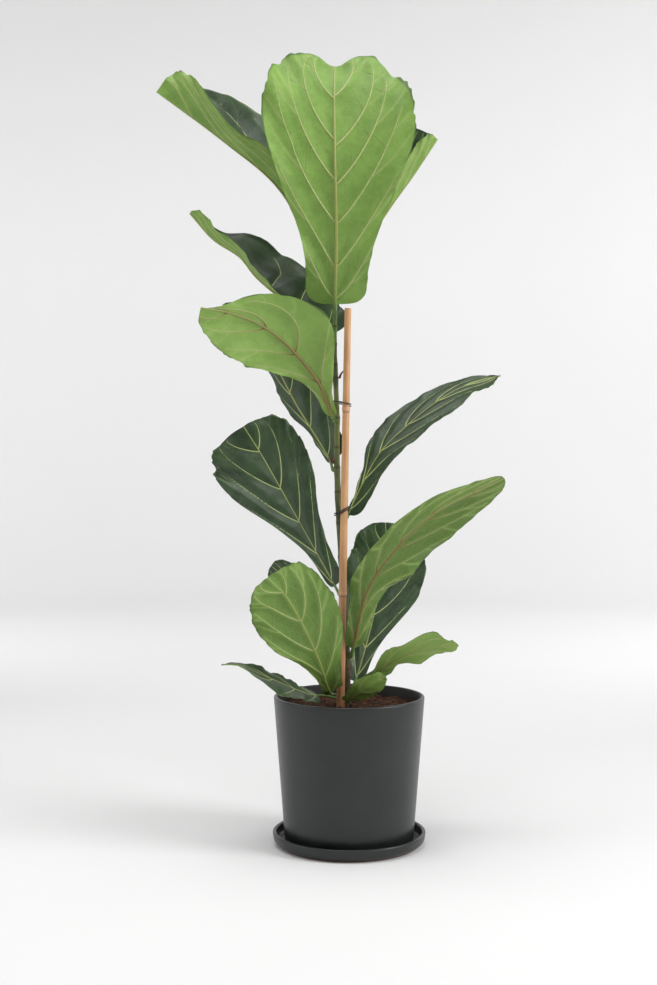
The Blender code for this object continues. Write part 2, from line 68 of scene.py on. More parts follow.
print("packed part:", len(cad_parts), "nodes,", sides, "m")

# %% [markdown]
# ## The camera
# A tall plant is best seen from the height of its middle, level, so that the pot and the top leaf are drawn
# without leaning. A 50 mm lens two metres away keeps the leaves that reach forward from looking too big.

# %% Camera
lens = bpy.data.cameras.new("camera")
lens.lens = 50
lens.sensor_width = 36
camera = bpy.data.objects.new("camera", lens)
camera.location = (-0.030, -1.985, 0.545)
camera.rotation_euler = (np.radians(89.0), 0, 0)
scene.collection.objects.link(camera)
scene.camera = camera
print("camera at", tuple(round(number, 3) for number in camera.location))

# %% [markdown]
# ## Shader maths
# A finish is a sum of patterns. Wired by hand, each plus and times is a node. Here a small class wraps a
# socket, so that a sum is written as a sum and adds its own Math nodes. Colours go through Mix nodes, since a
# Math node would turn them grey. Every other node comes from one method.


# %% A socket that can be added and multiplied
class Wire:
    """An output socket of a finish. Arithmetic on it adds Math nodes."""

    def __init__(self, paint, port):
        self.paint, self.port = paint, port

    def maths(self, operation, *values):
        return self.paint.node("ShaderNodeMath", {"operation": operation}, dict(enumerate(values)))

    def __add__(self, other):
        return self.maths("ADD", self, other)

    def __sub__(self, other):
        return self.maths("SUBTRACT", self, other)

    def __rsub__(self, other):
        return self.maths("SUBTRACT", other, self)

    def __mul__(self, other):
        return self.maths("MULTIPLY", self, other)

    def __pow__(self, power):
        return self.maths("POWER", self, power)

    __radd__ = __add__
    __rmul__ = __mul__

    def step(self, low, high):
        """0 below low, 1 above high, and smooth between. With low above high it falls."""
        settings = {"interpolation_type": "SMOOTHSTEP"}
        values = {"Value": self, "From Min": low, "From Max": high}
        return self.paint.node("ShaderNodeMapRange", settings, values)


# %% A finish, and the one method that makes its nodes
class Paint:
    """A Principled finish. Numbers and colours that don't vary are set straight on its sockets."""

    def __init__(self, name, **constants):
        self.material = bpy.data.materials.new(name)
        self.material.use_nodes = True
        self.tree = self.material.node_tree
        self.shader = self.tree.nodes["Principled BSDF"]
        self.feed(self.shader, {key.replace("_", " "): value for key, value in constants.items()})

    def feed(self, node, values):
        for key, value in values.items():
            if isinstance(value, Wire):
                self.tree.links.new(value.port, node.inputs[key])
            else:
                node.inputs[key].default_value = value

    def node(self, kind, settings=None, values=None, output=0):
        made = self.tree.nodes.new(kind)
        for key, value in (settings or {}).items():
            setattr(made, key, value)
        self.feed(made, values or {})
        return Wire(self, made.outputs[output])

    def mix(self, factor, low, high):
        """A colour between two, as colours or as wires."""
        low, high = (value if isinstance(value, Wire) else (*value, 1) for value in (low, high))
        return self.node("ShaderNodeMix", {"data_type": "RGBA"}, {0: factor, 6: low, 7: high}, 2)

    def place(self, stretch=(1, 1, 1)):
        """Where the surface is, in metres from the part's origin, stretched along its axes."""
        spot = self.node("ShaderNodeTexCoord", output="Object")
        return self.node("ShaderNodeVectorMath", {"operation": "MULTIPLY"}, {0: spot, 1: stretch})

    def attribute(self, name, output="Fac"):
        return self.node("ShaderNodeAttribute", {"attribute_name": name}, output=output)

    def noise(self, place, size, detail=3.0, roughness=0.5):
        """Soft random shades from 0 to 1, with patches about one size across, in metres."""
        values = {"Vector": place, "Scale": 1 / size, "Detail": detail, "Roughness": roughness}
        return self.node("ShaderNodeTexNoise", None, values)

    def cells(self, place, size, feature="DISTANCE_TO_EDGE", output="Distance"):
        settings = {"feature": feature}
        return self.node("ShaderNodeTexVoronoi", settings, {"Vector": place, "Scale": 1 / size}, output)

    def finish(self, colour, roughness=None, height=None, depth=0.0, coat=None):
        """Feeds the finish. Height raises the surface by up to depth, in metres."""
        self.feed(self.shader, {"Base Color": colour})
        if roughness is not None:
            self.feed(self.shader, {"Roughness": roughness})
        if coat is not None:
            self.feed(self.shader, {"Coat Weight": coat})
        if height is not None:
            values = {"Height": height, "Distance": depth, "Strength": 1.0}
            self.feed(self.shader, {"Normal": self.node("ShaderNodeBump", None, values)})
        return self.material


# %% [markdown]
# ## The studio
# A plain pale sweep: a floor that curves up into a wall all the way round, so that there is no horizon from
# any side. It is one profile spun about the middle. Soft lights stand inside it.


# %% Floor and sweep
def spun(name, profile, steps, closed=False):
    """(radius, height) points turned round the Z axis into a new mesh, with its seam and poles merged."""
    mesh = bmesh.new()
    points = [bmesh.ops.create_vert(mesh, co=(radius, 0, height))["vert"][0] for radius, height in profile]
    edges = [mesh.edges.new(pair) for pair in zip(points, points[1:] + points[:1] if closed else points[1:])]
    around = {"cent": (0, 0, 0), "axis": (0, 0, 1), "angle": 2 * np.pi, "steps": steps, "use_merge": True}
    bmesh.ops.spin(mesh, geom=points + edges, **around)
    bmesh.ops.remove_doubles(mesh, verts=mesh.verts, dist=1e-6)
    return mesh


def add_object(name, mesh, looks, sharp_angle=35):
    """Makes an object at the origin from a bmesh, with smooth faces that stay sharp past an angle."""
    data = bpy.data.meshes.new(name)
    mesh.to_mesh(data)
    mesh.free()
    data.shade_smooth()
    data.set_sharp_from_angle(angle=np.radians(sharp_angle))
    for look in looks:
        data.materials.append(look)
    made = bpy.data.objects.new(name, data)
    scene.collection.objects.link(made)
    return made


sweep_paint = Paint("studio_sweep", Roughness=0.75, Specular_IOR_Level=0.15)
sweep_cloud = sweep_paint.noise(sweep_paint.place(), 0.9)
sweep_shade = sweep_paint.mix(sweep_cloud, (0.775, 0.775, 0.778), (0.795, 0.795, 0.795))
COVE_FOOT, COVE_RADIUS = 3.6, 1.6
cove_turns = np.linspace(0, np.pi / 2, 13)
cove = [(COVE_FOOT + COVE_RADIUS * np.sin(turn), COVE_RADIUS * (1 - np.cos(turn))) for turn in cove_turns]
sweep_profile = [(0, 0), (1.0, 0), (2.6, 0), *cove, (5.3, 4.5)]
sweep = add_object("sweep", spun("sweep", sweep_profile, 96), [sweep_paint.finish(sweep_shade)], 80)
sweep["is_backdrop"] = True
print("sweep:", len(sweep.data.polygons), "faces")


# %% Lights
def softbox(name, place, aim, size, power, colour=(1, 1, 1)):
    """A square soft light at a place, turned to face a point."""
    lamp = bpy.data.lights.new(name, "AREA")
    lamp.size, lamp.energy, lamp.color = size, power, colour
    made = bpy.data.objects.new(name, lamp)
    made.location = place
    made.rotation_euler = (Vector(aim) - Vector(place)).to_track_quat("-Z", "Y").to_euler()
    scene.collection.objects.link(made)


softbox("key", (2.4, -1.0, 1.7), (-0.2, 0, 1.3), 1.1, 60)
softbox("fill", (-2.0, -0.6, 0.9), (0, 0, 0.3), 1.2, 8)
softbox("top", (-0.35, -0.35, 3.0), (-0.3, 0.1, 0.9), 1.7, 46)
softbox("wall_left", (-2.2, 1.6, 1.4), (-1.9, 5.0, 0.8), 1.6, 24)
softbox("wall_right", (2.2, 1.2, 2.2), (1.9, 5.0, 1.6), 1.6, 72)
world = bpy.data.worlds.new("room")
world.use_nodes = True
world.node_tree.nodes["Background"].inputs["Color"].default_value = (1, 0.995, 0.985, 1)
world.node_tree.nodes["Background"].inputs["Strength"].default_value = 0.38
scene.world = world
scene.view_settings.view_transform = "Standard"

# %% [markdown]
# ## Sizes of the plant
# The fine pieces follow the same lines as the solids: the stem's centre at each height, the lean of the
# stake, and the taper of the pot. Heights on the plant are measured up from the soil.

# %% Sizes
CLEARANCE = 0.0003
POT_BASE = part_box("pot")[0].z
POT_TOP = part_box("pot")[1].z
RIM_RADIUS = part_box("pot")[1].x
POT_FOOT_RADIUS = 0.0935
POT_WALL = 0.0065
POT_FLOOR = 0.009
DRAIN_RADIUS = 0.010
SAUCER_FLOOR = 0.0052
SAUCER_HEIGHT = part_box("saucer")[1].z
SAUCER_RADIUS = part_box("saucer")[1].x
SAUCER_WALL = 0.0058
SOIL_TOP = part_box("soil")[1].z
SOIL_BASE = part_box("soil")[0].z
STEM_FOOT_RADIUS = 0.0065
STEM_TOP_RADIUS = 0.0030
STEM_LENGTH = 0.6025
STAKE_RADIUS = 0.0054
STAKE_LENGTH = 0.5735
WIRE_RADIUS = 0.0009
STALK_RADIUS = 0.0021
STEM_Y = 0.006
STEM_HEIGHTS = (0.0575, 0.1375, 0.2175, 0.2975, 0.3575, 0.4175, 0.5175, 0.6975)
STEM_X = (-0.004, -0.006, -0.011, -0.016, -0.018, -0.0175, -0.0215, -0.019)
STAKE_X = (-0.0125, -0.0020)
STAKE_Y = -0.0085
STAKE_JOINTS = (0.1625, 0.4285)
print(f"pot {POT_TOP - POT_BASE:.3f} m tall, rim radius {RIM_RADIUS:.4f} m, soil at {SOIL_TOP:.4f} m")


# %% The lines of the stem, the stake and the pot
def plant_point(x, y, height):
    """A point of the plant, given from the middle of the soil's surface."""
    return np.array((x, y, SOIL_TOP + height))


def stem_centre(height):
    return plant_point(np.interp(height, STEM_HEIGHTS, STEM_X), STEM_Y, height)


def stem_radius(height):
    """The stem tapers from the soil to its tip."""
    share = np.clip(height / STEM_LENGTH, 0, 1)
    return STEM_FOOT_RADIUS + (STEM_TOP_RADIUS - STEM_FOOT_RADIUS) * share**0.8


def stake_centre(height):
    return plant_point(STAKE_X[0] + (STAKE_X[1] - STAKE_X[0]) * height / STAKE_LENGTH, STAKE_Y, height)


def stake_radius(height):
    """The cane tapers upward and swells at its joints."""
    swell = sum(0.0007 * np.exp(-(((height - joint) / 0.004) ** 2)) for joint in STAKE_JOINTS)
    return STAKE_RADIUS * (1.1 - 0.2 * height / STAKE_LENGTH) + swell


def pot_radius(height):
    """The pot's outer radius widens evenly from foot to rim."""
    return POT_FOOT_RADIUS + (RIM_RADIUS - POT_FOOT_RADIUS) * (height - POT_BASE) / (POT_TOP - POT_BASE)


# %% [markdown]
# ## Pot and saucer
# Both are thrown or cast round, in a dark body with a dry, satin skin. A ring of faces stacked by hand could
# make them, but a profile spun once about the axis is shorter and truly round. The corners of the profile
# are bevelled before the spin, so each lip is a soft roll as a wet sponge leaves it.


# %% Charcoal ceramic
def ceramic(name, foot_line):
    """Charcoal clay with a satin skin: fine specks, faint turning lines and a redder, bare foot."""
    paint = Paint(name, Specular_IOR_Level=0.5)
    clouds = paint.noise(paint.place(), 0.05)
    rings = paint.noise(paint.place((0.2, 0.2, 1)), 0.004, 2)
    grit = paint.noise(paint.place(), 0.0009, 2)
    body = paint.mix(clouds.step(0.3, 0.7), (0.0105, 0.0120, 0.0124), (0.0145, 0.0162, 0.0166))
    specks = paint.cells(paint.place(), 0.0016, "F1").step(0.16, 0.08)
    specks = specks * paint.noise(paint.place(), 0.006).step(0.5, 0.6)
    body = paint.mix(specks * 0.5, body, (0.06, 0.059, 0.057))
    height = paint.node("ShaderNodeSeparateXYZ", None, {0: paint.place()}, "Z")
    bare = (height + clouds * 0.0006).step(foot_line + 0.0007, foot_line + 0.0001)
    colour = paint.mix(bare, body, (0.20, 0.075, 0.045))
    # Painted shade: the pot's inner wall above the soil is darkened almost to black. It stands in for the
    # shade that the rim and walls cast inside the pot.
    outward = paint.node("ShaderNodeVectorMath", {"operation": "LENGTH"}, {0: paint.place((1, 1, 0))}, 1)
    inside = outward.step(RIM_RADIUS - POT_WALL * 0.6, RIM_RADIUS - POT_WALL * 0.8)
    inside = inside * height.step(SOIL_TOP - 0.014, SOIL_TOP - 0.012)
    colour = paint.mix(inside * 0.85, colour, (0.003, 0.003, 0.003))
    rough = clouds * 0.08 + rings * 0.06 + grit * 0.06 + bare * 0.3 + inside * 0.3 + 0.24
    return paint.finish(colour, rough, rings * 0.5 + grit * 0.7 + specks * 0.3, 0.00022)


pot_look = ceramic("charcoal_clay", POT_BASE)
saucer_look = ceramic("charcoal_clay_saucer", 0.0018)


# %% Spin the pot and the saucer
def rounded(profile, radii, closed):
    """The profile's corners, each cut back by its own radius and rounded in four steps."""
    mesh = bmesh.new()
    points = [bmesh.ops.create_vert(mesh, co=(x, 0, z))["vert"][0] for x, z in profile]
    count = len(points) if closed else len(points) - 1
    for k in range(count):
        mesh.edges.new((points[k], points[(k + 1) % len(points)]))
    for point, radius in zip(points, radii):
        if radius:
            cut = {"offset": radius, "offset_type": "OFFSET", "segments": 4, "profile": 0.5, "material": -1}
            bmesh.ops.bevel(mesh, geom=[point], affect="VERTICES", **cut)
    bmesh.ops.subdivide_edges(mesh, edges=[e for e in mesh.edges if e.calc_length() > 0.03], cuts=9)
    return mesh


def turned(mesh, steps):
    """A profile in the XZ plane, turned round the Z axis and closed."""
    around = {"cent": (0, 0, 0), "axis": (0, 0, 1), "angle": 2 * np.pi, "steps": steps, "use_merge": True}
    bmesh.ops.spin(mesh, geom=mesh.verts[:] + mesh.edges[:], **around)
    bmesh.ops.remove_doubles(mesh, verts=mesh.verts, dist=1e-6)
    return face_outward(mesh)


def face_outward(mesh):
    """Turns every face of a closed mesh to point out."""
    bmesh.ops.recalc_face_normals(mesh, faces=mesh.faces)
    if mesh.calc_volume(signed=True) < 0:
        bmesh.ops.reverse_faces(mesh, faces=mesh.faces)
    return mesh


inner_floor = POT_BASE + POT_FLOOR
pot_corners = [
    ((DRAIN_RADIUS, POT_BASE), 0.0008),
    ((POT_FOOT_RADIUS, POT_BASE), 0.0028),
    ((RIM_RADIUS, POT_TOP), 0.0026),
    ((RIM_RADIUS - POT_WALL, POT_TOP), 0.0026),
    ((pot_radius(inner_floor) - POT_WALL, inner_floor), 0.0060),
    ((DRAIN_RADIUS, inner_floor), 0.0008),
]
saucer_bore = SAUCER_RADIUS - SAUCER_WALL
saucer_corners = [
    ((0, 0), 0),
    ((SAUCER_RADIUS - 0.0102, 0), 0.0012),
    ((SAUCER_RADIUS - 0.0018, 0.0066), 0.0040),
    ((SAUCER_RADIUS, SAUCER_HEIGHT), 0.0024),
    ((saucer_bore, SAUCER_HEIGHT), 0.0024),
    ((saucer_bore - 0.0008, SAUCER_FLOOR), 0.0040),
    ((0, SAUCER_FLOOR), 0),
]


def new_piece(name, mesh, looks, sharp_angle=35):
    """A finished piece that stands for the CAD node of the same name and takes its finish from a slot."""
    made = add_object(name + "_fine", mesh, looks, sharp_angle)
    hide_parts(name)
    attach(made, "root")
    return made


pot = new_piece("pot", turned(rounded(*zip(*pot_corners), True), 160), [pot_look], 60)
saucer = new_piece("saucer", turned(rounded(*zip(*saucer_corners), False), 160), [saucer_look], 60)
print("pot:", len(pot.data.polygons), "faces, saucer:", len(saucer.data.polygons))

# %% [markdown]
# ## Soil
# Coir and peat, dark red-brown, with lumps, crumbs and stray fibres. A bump map on a flat disc looks painted
# from the side, so the disc is spun with close rings and its top is pushed up and down by noise. Crumbs are
# small lumpy balls of twenty faces and fibres are thin bent threads, strewn by a seeded random hand.

# %% Coir
soil_paint = Paint("coir_soil", Specular_IOR_Level=0.2)
soil_patch = soil_paint.noise(soil_paint.place(), 0.012, 5, 0.65)
soil_grain = soil_paint.noise(soil_paint.place(), 0.0022, 4, 0.7)
soil_shade = soil_paint.mix(soil_patch.step(0.35, 0.65), (0.020, 0.009, 0.006), (0.070, 0.028, 0.016))
soil_shade = soil_paint.mix(soil_grain.step(0.55, 0.75) * 0.6, soil_shade, (0.15, 0.07, 0.035))
soil_look = soil_paint.finish(soil_shade, soil_patch * 0.2 + 0.78, soil_grain + soil_patch * 0.8, 0.0016)

fibre_paint = Paint("coir_fibre", Specular_IOR_Level=0.25)
fibre_shade = fibre_paint.noise(fibre_paint.place(), 0.009, 2).step(0.35, 0.65)
fibre_look = fibre_paint.finish(
    fibre_paint.mix(fibre_shade, (0.09, 0.035, 0.016), (0.26, 0.12, 0.055)), fibre_shade * 0.2 + 0.7
)


# %% The body of the soil
def lumps(x, y):
    """How high the surface of the soil stands above its level."""
    spot = Vector((x, y, 0.0))
    return 0.0035 * noise.fractal(spot * 45, 0.9, 2.1, 5) + 0.0016 * noise.noise(spot * 160)


SOIL_GAP = 0.0008
SOIL_SINK = 0.002
MOST_LUMP = 0.0045
soil_wall = pot_radius(SOIL_TOP) - POT_WALL - SOIL_GAP
soil_foot = pot_radius(SOIL_BASE) - POT_WALL - SOIL_GAP - 0.006
soil_rings = [(soil_wall * share, SOIL_TOP - SOIL_SINK) for share in np.linspace(1, 0, 56)]
soil_profile = [(0, SOIL_BASE), (soil_foot, SOIL_BASE), *soil_rings]
soil_mesh = spun("soil", soil_profile, 150)
for point in soil_mesh.verts:
    if point.co.z > SOIL_TOP - 2 * SOIL_SINK:
        point.co.z += min(lumps(point.co.x, point.co.y), MOST_LUMP)
soil = new_piece("soil", face_outward(soil_mesh), [soil_look], 60)
print("soil:", len(soil.data.polygons), "faces")

# %% Crumbs and fibres
hand = Random(7)


def strewn(reach):
    """A random spot on the soil."""
    turn, out = hand.uniform(0, 2 * np.pi), reach * np.sqrt(hand.uniform(0.01, 1))
    x, y = out * np.cos(turn), out * np.sin(turn)
    return np.array((x, y, SOIL_TOP - SOIL_SINK + min(lumps(x, y), MOST_LUMP)))


crumb_mesh = bmesh.new()
for _ in range(420):
    size = hand.uniform(0.0007, 0.0026)
    ball = bmesh.ops.create_icosphere(crumb_mesh, subdivisions=1, radius=size)["verts"]
    stretch = Vector((hand.uniform(0.7, 1.6), hand.uniform(0.7, 1.3), hand.uniform(0.5, 0.9)))
    bmesh.ops.scale(crumb_mesh, verts=ball, vec=stretch)
    for point in ball:
        point.co *= 1 + 0.35 * noise.noise(point.co * 900 + Vector((size * 9999, 0, 0)))
    bmesh.ops.translate(crumb_mesh, verts=ball, vec=strewn(soil_wall - 0.004))
crumbs = add_object("soil_crumbs", crumb_mesh, [soil_look], 60)
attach(crumbs, "root")
print("crumbs:", len(crumbs.data.polygons), "faces")

# %% [markdown]
# ## Rods
# The stem, the stake, wires, threads, stalks and veins are all long round things that taper and bend. A curve
# with a bevel could make them, but a sheet of quads rolled round its path gives every ring its own radius,
# and its points can carry a colour. The rolled sheet's seam is merged, and its two ends are filled.


# %% Roll a sheet into a rod
def unit(vectors):
    """Vectors of length one, along the last axis."""
    return vectors / np.maximum(np.linalg.norm(vectors, axis=-1, keepdims=True), 1e-12)


def join(mesh, piece):
    """Adds a finished small mesh to a larger one. It is much quicker than working inside the larger one."""
    data = bpy.data.meshes.new("joined")
    piece.to_mesh(data)
    piece.free()
    mesh.from_mesh(data)
    bpy.data.meshes.remove(data)


def rolled(rings, looks=None, values=None, flat=None):
    """A sheet of quads laid over rings of points, with its seam merged and its ends filled.

    rings is (rows, around, 3). looks gives the material of each column, values the numbers or colours of its
    points by name, and flat the flat pattern that becomes its UV map.
    """
    rows, around = rings.shape[:2]
    mesh = bmesh.new()
    layers = []
    for name, table in (values or {}).items():
        kind = mesh.verts.layers.float if table.ndim == 2 else mesh.verts.layers.float_color
        layers.append((kind.new(name), table))
    uv = mesh.loops.layers.uv.new("flat_pattern") if flat is not None else None
    sheet = bmesh.ops.create_grid(mesh, x_segments=around, y_segments=rows - 1, size=0.5)["verts"]
    mesh.verts.index_update()
    for number, point in enumerate(sheet):
        row, column = number // (around + 1), number % (around + 1) % around
        point.co = rings[row, column]
        for layer, table in layers:
            point[layer] = table[row, column]
    for number, face in enumerate(mesh.faces):
        face.material_index = looks[number % around] if looks else 0
        for loop in face.loops if uv else ():
            row, column = divmod(loop.vert.index, around + 1)
            loop[uv].uv = flat[row, column % around]
    bmesh.ops.remove_doubles(mesh, verts=mesh.verts, dist=1e-7)
    bmesh.ops.holes_fill(mesh, edges=[edge for edge in mesh.edges if edge.is_boundary], sides=0)
    return face_outward(mesh)


def rings_along(path, radii, sides, first=None):
    """Round sections square to a path. Each keeps in step with the one before, so the rod isn't twisted."""
    path = np.asarray(path, float)
    along = unit(np.gradient(path, axis=0))
    spoke = np.cross(along[0], (0.31, 0.87, 0.38) if first is None else first)
    spokes = []
    for way in along:
        spoke = unit(spoke - way * (spoke @ way))
        spokes.append(spoke)
    spokes = np.array(spokes)
    turns = 2 * np.pi * np.arange(sides) / sides
    across = np.cross(along, spokes)
    circle = np.cos(turns)[:, None] * spokes[:, None] + np.sin(turns)[:, None] * across[:, None]
    return path[:, None] + circle * np.reshape(radii, (-1, 1, 1))


def rod(path, radii, sides):
    return rolled(rings_along(path, radii, sides))


thread_mesh = bmesh.new()
for _ in range(170):
    foot = strewn(soil_wall - 0.012)
    turn, reach, rise = hand.uniform(0, 2 * np.pi), hand.uniform(0.006, 0.022), hand.uniform(0.0006, 0.0030)
    bend = hand.uniform(-0.006, 0.006)
    share = np.linspace(-1, 1, 7)[:, None]
    way, aside = np.array((np.cos(turn), np.sin(turn), 0)), np.array((-np.sin(turn), np.cos(turn), 0))
    path = foot + way * share * reach / 2 + aside * bend * share**2
    path = path + (0, 0, rise) * (1 - share**2) + (0, 0, 0.0004)
    path *= np.minimum(1, (soil_wall - 0.001) / np.linalg.norm(path[:, :2], axis=1))[:, None] ** (1, 1, 0)
    join(thread_mesh, rod(path, 0.00028 * (1.1 - 0.6 * np.abs(share[:, 0])), 5))
threads = add_object("soil_fibres", thread_mesh, [fibre_look], 80)
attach(threads, "root")
print("fibres:", len(threads.data.polygons), "faces")

# %% [markdown]
# ## Bamboo stake
# A thin cane, sawn flat at the top, with two joints. Real cane is tan with fine dark lines along it, redder
# toward the foot, and paler just at a joint. The lines are noise stretched along the cane.

# %% Cane finish
cane_paint = Paint("cane", Specular_IOR_Level=0.5)
cane_streak = cane_paint.noise(cane_paint.place((1, 1, 0.012)), 0.0007, 3, 0.6)
cane_cloud = cane_paint.noise(cane_paint.place((1, 1, 0.25)), 0.012, 3)
cane_height = cane_paint.node("ShaderNodeSeparateXYZ", None, {0: cane_paint.place()}, "Z")
cane_shade = cane_paint.mix(cane_cloud.step(0.3, 0.7), (0.52, 0.27, 0.115), (0.62, 0.35, 0.165))
cane_shade = cane_paint.mix(cane_height.step(0.45, 0.22) * 0.55, cane_shade, (0.36, 0.16, 0.075))
cane_shade = cane_paint.mix(cane_streak.step(0.50, 0.80) * 0.55, cane_shade, (0.24, 0.11, 0.045))
for joint in STAKE_JOINTS:
    above = cane_height - (SOIL_TOP + joint)
    away = above.maths("ABSOLUTE", above)
    cane_shade = cane_paint.mix(away.step(0.0035, 0.0012) * 0.6, cane_shade, (0.66, 0.38, 0.22))
    under = (cane_height - (SOIL_TOP + joint - 0.0045)) ** 2.0
    cane_shade = cane_paint.mix(under.step(0.000002, 0.0000004) * 0.7, cane_shade, (0.25, 0.10, 0.05))
cane_look = cane_paint.finish(cane_shade, cane_streak * 0.25 + 0.32, cane_streak, 0.00025)

# %% The cane
stake_steps = np.concatenate((np.linspace(-0.02, STAKE_LENGTH, 230), [STAKE_LENGTH]))
stake_radii = np.array([stake_radius(height) for height in stake_steps])
stake_radii += [0.00015 * noise.noise(Vector((0, 0, height * 40))) for height in stake_steps]
for joint in STAKE_JOINTS:
    stake_radii -= 0.00045 * np.exp(-(((stake_steps - joint + 0.0045) / 0.0011) ** 2))
stake_radii[-1] -= 0.0005
stake_mesh = rod([stake_centre(height) for height in stake_steps], stake_radii, 28)
ends = [face for face in stake_mesh.faces if len(face.verts) > 4]
saw_cut = max(ends, key=lambda face: face.calc_center_median().z)
bmesh.ops.inset_region(stake_mesh, faces=[saw_cut], thickness=0.0026, depth=0.0)
bmesh.ops.inset_region(stake_mesh, faces=[saw_cut], thickness=0.0004, depth=-0.0012)
stake = new_piece("stake", stake_mesh, [cane_look], 50)
print("stake:", len(stake.data.polygons), "faces")

# %% [markdown]
# ## Stem
# The young stem is green at the top and goes brown and corky toward the soil. Every leaf leaves a ring where
# its stalk joins. The rod's radius carries the rings, and small pale pores come from stretched cells.

# %% Bark finish
bark_paint = Paint("bark", Specular_IOR_Level=0.35)
bark_height = bark_paint.node("ShaderNodeSeparateXYZ", None, {0: bark_paint.place()}, "Z")
bark_cloud = bark_paint.noise(bark_paint.place((1, 1, 0.3)), 0.006, 4, 0.6)
bark_pores = bark_paint.cells(bark_paint.place((1, 1, 0.45)), 0.0022, "F1").step(0.30, 0.12)
bark_shade = bark_paint.mix(bark_cloud.step(0.35, 0.65), (0.045, 0.065, 0.026), (0.105, 0.125, 0.045))
bark_shade = bark_paint.mix(bark_height.step(0.50, 0.60), bark_shade, (0.135, 0.165, 0.050))
bark_shade = bark_paint.mix(bark_height.step(0.655, 0.67) * 0.8, bark_shade, (0.050, 0.062, 0.032))
bark_shade = bark_paint.mix(bark_height.step(0.715, 0.74) * 0.9, bark_shade, (0.110, 0.190, 0.045))
bark_shade = bark_paint.mix(bark_height.step(0.36, 0.24) * 0.7, bark_shade, (0.075, 0.045, 0.025))
bark_ring = bark_paint.attribute("ring")
bark_shade = bark_paint.mix(bark_ring * 0.8, bark_shade, (0.050, 0.020, 0.012))
bark_shade = bark_paint.mix(bark_pores * 0.4, bark_shade, (0.20, 0.16, 0.10))
bark_look = bark_paint.finish(bark_shade, bark_cloud * 0.3 + 0.42, bark_cloud + bark_pores * 0.6, 0.0004)

# %% [markdown]
# ## The shape of a leaf
# Each leaf is a flat pattern first: cross lines leave the midrib and sweep forward to the margin, as the side
# veins do. Then the pattern is bent: the midrib follows a curve in space, and each half tilts and curls about
# it. The same numbers shaped the solids, so the fine leaves lie where they do.


# %% Smooth curves and the flat margin
LOBE, WAIST = 0.085, 0.56  # the cross lines where the lobe by the stalk ends and where the tip begins
LOBE_LENGTH = 0.075


def smooth(points, share):
    """A Catmull-Rom curve through the points, evenly spaced, read at shares of it from 0 to 1."""
    points = np.asarray(points, float)
    if points.ndim == 1:
        return smooth(points[:, None], share)[..., 0]
    last = len(points) - 1
    line = np.vstack((2 * points[0] - points[1], points, 2 * points[-1] - points[-2]))
    place = np.clip(share, 0, 1) * last
    span = np.minimum(place.astype(int), last - 1)
    f = (place - span)[..., None]
    a, b, c, d = line[span], line[span + 1], line[span + 2], line[span + 3]
    return 0.5 * (2 * b + (c - a) * f + (2 * a - 5 * b + 4 * c - d) * f**2 + (3 * b - a - 3 * c + d) * f**3)


def margin(line, neck, belly, blunt, notch, reach):
    """One margin of a flat blade. For cross line 0 (stalk) to 1 (tip): where the line leaves the midrib, and
    where it ends along and across, in shares of the blade's length and of that side's width."""
    fan = np.clip(line / LOBE, 0, 1)
    body = np.clip((line - LOBE) / (WAIST - LOBE), 0, 1)
    top = np.clip((line - WAIST) / (1 - WAIST), 0, 1) * np.pi / 2
    base_along = LOBE_LENGTH * (1 - np.cos(fan * np.pi / 2)) - 0.012 * np.sin(fan * np.pi)
    base_across = neck * np.sin(fan * np.pi / 2) ** 0.8
    body_across = neck + (1 - neck) * (0.5 - 0.5 * np.cos(body * np.pi)) ** 1.1
    top_across = np.maximum(np.cos(top), 0) ** blunt
    rise = (1 - np.exp(-((top_across / 0.2) ** 2))) * np.clip((reach - top_across) / 0.24, 0, 1)
    top_along = belly + (1 - belly) * np.sin(top) + notch * rise
    parts = (line < LOBE, line < WAIST)
    along = np.select(parts, (base_along, LOBE_LENGTH + (belly - LOBE_LENGTH) * body), top_along)
    across = np.select(parts, (base_across, body_across), top_across)
    rest = np.clip((line - LOBE) / (1 - LOBE), 0, 1)
    start = np.where(line < LOBE, 0.02 * fan**2, 0.02 + 0.98 * rest**1.12)
    return start, along, across


# %% A leaf bent in space
FRONT = np.array((0.0, -1.0, 0.0))
FLAT = (0, 0, 0, 0)


